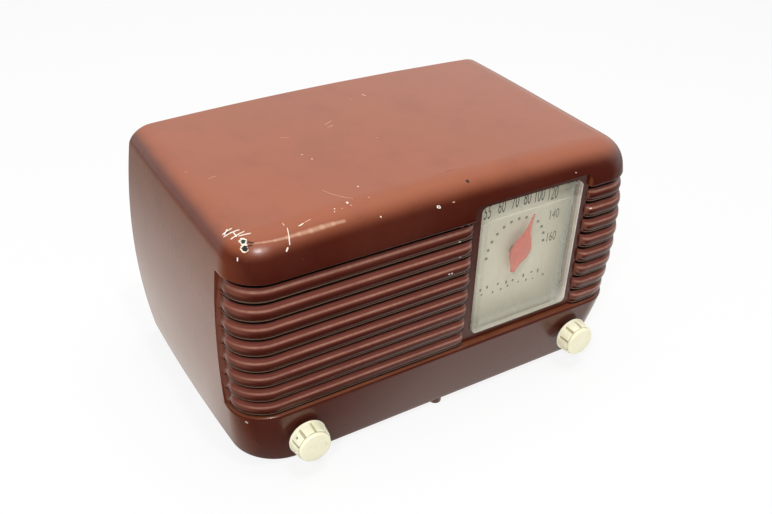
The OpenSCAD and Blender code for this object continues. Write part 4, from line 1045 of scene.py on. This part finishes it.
# The leaf's outline, as (place along it, half width there)
LEAF = [(-13.2, 1.5), (-11, 2.3), (-9, 3.2), (-7, 4.4), (-5.2, 5.6), (-3.4, 6.9), (-1.6, 7.6), (0.4, 8.0),
        (2.4, 8.0), (4, 7.7), (5.4, 7.2), (7.4, 6.3), (9.4, 5.2), (11.6, 3.8), (13.7, 2.6), (16.2, 1.8),
        (19, 1.15), (22.6, 0.8), (25.4, 0.55), (26.3, 0.3)]


def build_pointer():
    material = plain("pointer_red", (0.66, 0.09, 0.06), 0.12, 0.4, scale=90)
    axis = np.array([math.cos(POINTER_REST), math.sin(POINTER_REST)])
    beside = np.array([axis[1], -axis[0]])
    rings = []
    for inset, deep in ((0.35, 0), (0.08, 0.1), (0, 0.3), (0, POINTER_T)):
        outline = [(t, w - inset) for t, w in LEAF] + [(t, inset - w) for t, w in LEAF[::-1]]
        flat = [np.array([DIAL_X, DIAL_Z]) + axis * t + beside * w for t, w in outline]
        rings.append(np.array([[p[0], POINTER_Y + deep, p[1]] for p in flat]))
    leaf = loft("leaf", rings, material)
    bore = SHAFT_R + 0.02
    profile = [(bore, POINTER_Y + 0.5), (4.6, POINTER_Y + 0.5), (5, POINTER_Y + 0.8), (5, HUB_END - 0.2),
               (4.8, HUB_END), (bore, HUB_END)]
    return join("dial_pointer", [leaf, turned("hub", DIAL_X, DIAL_Z, profile, material, 48)])


pointer = build_pointer()
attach(pointer, "gang")
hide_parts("pointer")

# Knobs
PADS = 9
PAD_SWELL = 0.09
SCREW_HOLE_R = 0.9
SCREW_HOLE_IN = 4.6
SCREW_HOLE_ENDS = (8.2, 13)
GROOVE_DEEP = 1.1
GROOVE_HALF = math.radians(3.6)

# The knob's outline from its back and from its face, as (radius, distance, share of the grooves' depth)
FROM_BACK = [(SHAFT_R + 0.02, 0, 0), (10.6, 0, 0), (11.2, 0.12, 0), (11.45, 0.4, 0), (11.5, 0.8, 0),
             (11.42, 1.2, 0), (11.25, 1.4, 0), (11.15, 1.5, 0.2), (11.15, 1.7, 0.7), (11.15, 2.1, 1),
             (10.95, 4.0, 1), (10.7, 5.8, 1)]
FROM_FACE = [(10.45, 2.7, 1), (10.35, 2.35, 0.9), (10.1, 2.1, 0.5), (9.6, 2.0, 0.1), (9.55, 1.85, 0),
             (9.8, 1.7, 0), (9.8, 1.2, 0), (9.72, 0.75, 0), (9.45, 0.35, 0), (9.05, 0.12, 0),
             (8.4, 0.02, 0), (5, 0, 0), (0.3, 0, 0), (0.02, 2, 0), (SHAFT_R + 0.02, 2, 0)]


def pad_angles():
    """Angles round a knob, close together at the grooves between the pads."""
    pitch = 2 * math.pi / PADS
    near = np.radians([0, 1.2, 2.0, 2.6, 3.2, 4.0, 5.2, 7.0, 10.5, 15.0])
    offsets = sorted({round(s * a, 6) for a in near for s in (-1, 1)} | {round(pitch / 2, 6)})
    return [k * pitch + o for k in range(PADS) for o in offsets]


def groove(angle):
    """How deep the groove is at an angle round the knob, from 0 on a pad to 1."""
    pitch = 2 * math.pi / PADS
    off = abs((angle + pitch / 2) % pitch - pitch / 2)
    return smooth((GROOVE_HALF * 1.5 - off) / (GROOVE_HALF * 0.9))


def build_knob(name, side, phase, screw_at, material):
    profile = [(r, KNOB_BACK - out, share) for r, out, share in FROM_BACK]
    profile += [(r, KNOB_FRONT + back_in, share) for r, back_in, share in FROM_FACE]
    x, z = side * KNOB_X, KNOB_Z
    rings = []
    for r, y, share in [*profile, profile[0]]:
        ring = []
        for a in pad_angles():
            swell = PAD_SWELL * math.cos(a * PADS) if share == 1 else 0
            radius = r - share * GROOVE_DEEP * groove(a) - swell
            ring.append([x + radius * math.sin(a + phase), y, z + radius * math.cos(a + phase)])
        rings.append(np.array(ring))
    knob = loft(name, rings, material, 40, caps=False)
    hole = rod("screw_hole", 0, 0, *SCREW_HOLE_ENDS, SCREW_HOLE_R, segments=20)
    facing = Vector((math.sin(screw_at), 0, math.cos(screw_at))).to_track_quat("Y", "Z").to_matrix().to_4x4()
    to_knob = Matrix.Translation(in_frame([x, KNOB_BACK - SCREW_HOLE_IN, z]))
    hole.data.transform(to_knob @ facing @ Matrix.Translation(-Vector(in_frame([0, 0, 0]))))
    cut(knob, hole)
    soften(knob, 40)
    return knob


def ivory_material():
    """Ivory plastic, with grime in the grooves."""
    g = Graph("ivory_plastic")
    cloudy = g.noise(60, 4)
    grime = g.noise(350, 3, 0.6)
    x, y, z = g.cabinet_mm()
    off_x = g.minus(g.math("ABSOLUTE", x), KNOB_X)
    off_z = g.minus(z, KNOB_Z)
    from_axis = g.math("SQRT", g.plus(g.times(off_x, off_x), g.times(off_z, off_z)))
    inner = g.step(g.minus(from_axis, g.times(g.minus(y, KNOB_FRONT), 0.09)), 9.95, 9.5)
    in_groove = g.times(inner, g.step(y, KNOB_FRONT + 1.7, KNOB_FRONT + 1.9),
                        g.step(y, KNOB_BACK - 1.2, KNOB_BACK - 1.7))
    tone = g.blend(g.step(cloudy, 0.3, 0.75), (0.95, 0.92, 0.70), (0.88, 0.83, 0.60))
    tone = g.blend(g.times(in_groove, g.value(grime, 0.45, 0.9)), tone, (0.33, 0.28, 0.15))
    tone = g.blend(g.times(g.step(grime, 0.55, 0.8), 0.25), tone, (0.42, 0.35, 0.2))
    return g.set(Base_Color=tone, Roughness=g.value(cloudy, 0.32, 0.48), IOR=1.5, Subsurface_Weight=0.12,
                 Subsurface_Radius=(0.003, 0.0022, 0.0012), Subsurface_Scale=1.0,
                 Normal=g.bump(grime, 0.00003, 0.3))


ivory = ivory_material()
KNOBS = [("volume", "volume_knob", -1, math.radians(7), math.radians(-53)),
         ("tuning", "tuning_knob", 1, math.radians(3), math.radians(163))]
for body, name, side, phase, screw_at in KNOBS:
    knob = build_knob(name + "_fluted", side, phase, screw_at, ivory)
    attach(knob, body)
    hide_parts(name)

# Grille cloth, stretched over the baffle board
CLOTH_X0, CLOTH_X1 = -107.5, 5.5
CLOTH_Z0, CLOTH_Z1 = 39.5, 129.5
CLOTH_Y = 2.62
CLOTH_T = 0.35
WEAVE_PITCH = 0.0011


def cloth_material():
    g = Graph("grille_cloth")
    warp = g.math("SINE", g.times(g.x, 2 * math.pi / WEAVE_PITCH))
    weft = g.math("SINE", g.times(g.z, 2 * math.pi / WEAVE_PITCH))
    weave = g.times(warp, weft)
    slub = g.noise(160, 3)
    tone = g.blend(g.step(weave, -0.6, 0.6), (0.03, 0.02, 0.014), (0.075, 0.05, 0.032))
    tone = g.blend(g.times(slub, 0.5), tone, (0.04, 0.03, 0.02))
    return g.set(Base_Color=tone, Roughness=0.9, Sheen_Weight=0.2, Normal=g.bump(weave, 0.0001, 0.6))


def build_cloth():
    nx, nz = 58, 46
    points, faces = [], []
    for front in (1, 0):
        for j in range(nz + 1):
            for i in range(nx + 1):
                u, v = i / nx, j / nz
                loose = math.sin(math.pi * u) * math.sin(math.pi * v)
                ripple = 0.1 * loose * math.sin(9 * u + 4 * v) * math.cos(7 * v)
                y = CLOTH_Y + 0.12 + ripple + (0 if front else CLOTH_T)
                points.append([mix(CLOTH_X0, CLOTH_X1, u), y, mix(CLOTH_Z0, CLOTH_Z1, v)])
    n, row = (nx + 1) * (nz + 1), nx + 1
    for j in range(nz):
        for i in range(nx):
            a = j * row + i
            faces.append((a, a + 1, a + row + 1, a + row))
            faces.append((n + a, n + a + row, n + a + row + 1, n + a + 1))
    rim = [*range(nx), *(nx + j * row for j in range(nz))]
    rim += [nz * row + nx - i for i in range(nx)] + [(nz - j) * row for j in range(nz)]
    for k, a in enumerate(rim):
        b = rim[(k + 1) % len(rim)]
        faces.append((a, n + a, n + b, b))
    obj = new_object("speaker_cloth", points, faces, cloth_material())
    tidy_mesh(obj)
    soften(obj, 60)
    return obj


cloth = build_cloth()
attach(cloth, "radio")
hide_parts("grille_cloth")

# Materials of the nodes that keep their solids
def dress(material, *nodes):
    """Gives nodes a material in place of what they have."""
    for node in nodes:
        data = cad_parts[node].data
        if not data.materials:
            data.materials.append(material)
        for i in range(len(data.materials)):
            data.materials[i] = material


dress(plain("steel", (0.42, 0.42, 0.42), 0.15, 0.38, 1.0, 120), "power_switch", "gang_support", "gang_frame",
      "speaker_screws", "chassis_screws", "back_screws", "cord_spring", "output_transformer")
dress(plain("plated_steel", (0.60, 0.58, 0.52), 0.12, 0.32, 1.0, 90), "chassis", "dial_bracket", "lens_clips",
      "baffle_clips", "speaker_basket")
dress(plain("magnet_steel", (0.30, 0.29, 0.28), 0.2, 0.5, 1.0, 150), "speaker_magnet")
dress(plain("aluminium", (0.70, 0.71, 0.72), 0.08, 0.35, 1.0, 200), "filter_capacitor", "if_transformer_1",
      "if_transformer_2", "gang_stator")
dress(plain("brass", (0.62, 0.43, 0.17), 0.2, 0.34, 1.0, 160), "volume_shaft", "tuning_shaft",
      "tuning_bushing", "gang_rotor", "lamp_holder")
dress(plain("black_plastic", (0.02, 0.018, 0.016), 0.3, 0.4, 0.0, 140, 0.00002), "volume_control",
      "valve_bases")
dress(plain("brown_plastic", (0.10, 0.04, 0.02), 0.25, 0.42, 0.0, 140, 0.00002), "valve_sockets", "resistors")
dress(plain("rubber", (0.03, 0.028, 0.026), 0.25, 0.75, 0.0, 300, 0.00003), "cord_grommet", "rubber_feet")
dress(plain("copper_wire", (0.55, 0.25, 0.10), 0.25, 0.4, 0.9, 400, 0.00004), "voice_coil", "loop_aerial")
dress(plain("cone_paper", (0.045, 0.035, 0.028), 0.3, 0.85, 0.0, 500, 0.00004), "speaker_cone", "dust_cap")
dress(plain("cone_felt", (0.03, 0.026, 0.022), 0.3, 0.9, 0.0, 700, 0.00005), "cone_surround")
dress(plain("wax_paper", (0.60, 0.47, 0.26), 0.2, 0.5, 0.0, 120, 0.00002), "paper_capacitors",
      "transformer_coil", "spider")
dress(plain("cord", (0.55, 0.47, 0.30), 0.25, 0.85, 0.0, 900, 0.00005), "dial_cord")
dress(plain("drum_plastic", (0.62, 0.58, 0.46), 0.12, 0.45, 0.0, 90), "drive_drum")


def board_material(name, dark, light):
    """Pressed fibre board, with flattened flecks."""
    g = Graph(name)
    flecks = g.noise(260, 4, 0.7, g.vector("MULTIPLY", g.where, (0.45, 1, 1)))
    blotches = g.noise(18, 4)
    tone = g.blend(g.step(flecks, 0.35, 0.7), dark, light)
    tone = g.blend(g.times(g.step(blotches, 0.4, 0.8), 0.4), tone, tuple(c * 0.6 for c in dark))
    return g.set(Base_Color=tone, Roughness=0.8, Normal=g.bump(flecks, 0.00006, 0.5))


dress(board_material("back_board", (0.13, 0.075, 0.04), (0.24, 0.15, 0.085)), "back_cover")
dress(board_material("baffle_fibre", (0.10, 0.065, 0.04), (0.2, 0.14, 0.09)), "baffle_board")


def glass_material():
    """Valve glass, silvered inside at the top and smoky below."""
    g = Graph("valve_glass")
    silver = g.step(g.z, 0.108, 0.114)
    smoke = g.noise(90, 3)
    tone = g.blend(silver, (0.86, 0.88, 0.86), (0.32, 0.32, 0.33))
    tone = g.blend(g.times(smoke, 0.2), tone, (0.5, 0.47, 0.4))
    return g.set(Base_Color=tone, Roughness=0.06, IOR=1.5, Metallic=g.times(silver, 0.9),
                 Transmission_Weight=g.value(silver, 0.85, 0.0))


def lamp_glass():
    g = Graph("lamp_glass")
    cloudy = g.noise(200, 3)
    tone = g.blend(cloudy, (0.85, 0.83, 0.74), (0.7, 0.66, 0.52))
    return g.set(Base_Color=tone, Roughness=0.12, IOR=1.5, Transmission_Weight=0.8)


dress(glass_material(), "converter_valve", "if_valve", "detector_valve", "output_valve", "rectifier_valve")
dress(lamp_glass(), "dial_lamp")

# Stage: a pale floor, a soft sky and three lamps
FLOOR_HALF = 6.0


def floor_material():
    """A pale floor that gloss sees as bright near the radio and dark before it."""
    g = Graph("floor")
    rays = g.node("ShaderNodeLightPath").outputs
    towards = g.minus(g.times(g.x, math.sin(CAM_AZ)), g.times(g.y, math.cos(CAM_AZ)))
    away = g.math("SQRT", g.plus(g.times(g.x, g.x), g.times(g.y, g.y)))
    shine = g.blend(g.step(towards, 0.14, 0.06), (0.02, 0.02, 0.02), (1.0, 0.96, 0.90))
    fading = g.value(g.step(away, 0.18, 0.48), 1.15, 0.5)
    lit = g.node("ShaderNodeEmission", dict(Color=shine, Strength=fading))
    white = g.node("ShaderNodeEmission", dict(Color=(1, 1, 1)))
    g.set(Base_Color=(0.8, 0.8, 0.8), Roughness=0.9)
    pale = g.mix_shaders(g.times(rays["Is Camera Ray"], 0.85), g.shader.outputs[0], white.outputs[0])
    surface = g.mix_shaders(rays["Is Glossy Ray"], pale, lit.outputs[0])
    g.feed(g.tree.nodes["Material Output"].inputs["Surface"], surface)
    return g.owner


floor_mesh = bpy.data.meshes.new("floor")
corners = [(x * FLOOR_HALF, y * FLOOR_HALF, 0) for x, y in ((-1, -1), (1, -1), (1, 1), (-1, 1))]
floor_mesh.from_pydata(corners, [], [(0, 1, 2, 3)])
floor = add_object("floor", floor_mesh)
floor_mesh.materials.append(floor_material())


def build_sky():
    """A white sky to the camera, softer as light, and dim where gloss sees what is before the radio."""
    world = bpy.data.worlds.new("world")
    bpy.context.scene.world = world
    g = Graph(world, "Background")
    rays = g.node("ShaderNodeLightPath").outputs
    seen = g.math("MAXIMUM", rays["Is Camera Ray"], rays["Is Glossy Ray"])
    seen = g.math("MAXIMUM", seen, rays["Is Transmission Ray"])
    before = g.vector("DOT_PRODUCT", g.coords.outputs["Generated"], (math.sin(CAM_AZ), -math.cos(CAM_AZ), 0))
    dimmed = g.value(g.step(before, -0.5, 0.15), 1.0, 0.06)
    dimmed = g.math("MAXIMUM", dimmed, rays["Is Camera Ray"])
    g.set(Color=(1, 1, 1), Strength=g.value(seen, 0.45, dimmed))


build_sky()


def lamp(name, at, aim, size, power):
    data = bpy.data.lights.new(name, "AREA")
    data.shape = "DISK"
    data.size = size
    data.energy = power
    obj = add_object(name, data)
    obj.location = at
    obj.rotation_euler = (Vector(aim) - Vector(at)).to_track_quat("-Z", "Y").to_euler()
    return obj


lamp("overhead", (0.1, 0.1, 1.6), (0, 0, 0.05), 1.2, 10.5).visible_glossy = False
lamp("key", (-0.75, -0.75, 1.05), (0, 0, 0.08), 0.2, 9).visible_glossy = False
lamp("glint", (-0.08, -0.475, 1.59), (-0.1, -0.06, 0.14), 0.1, 6)

bpy.context.scene.view_settings.view_transform = "Standard"
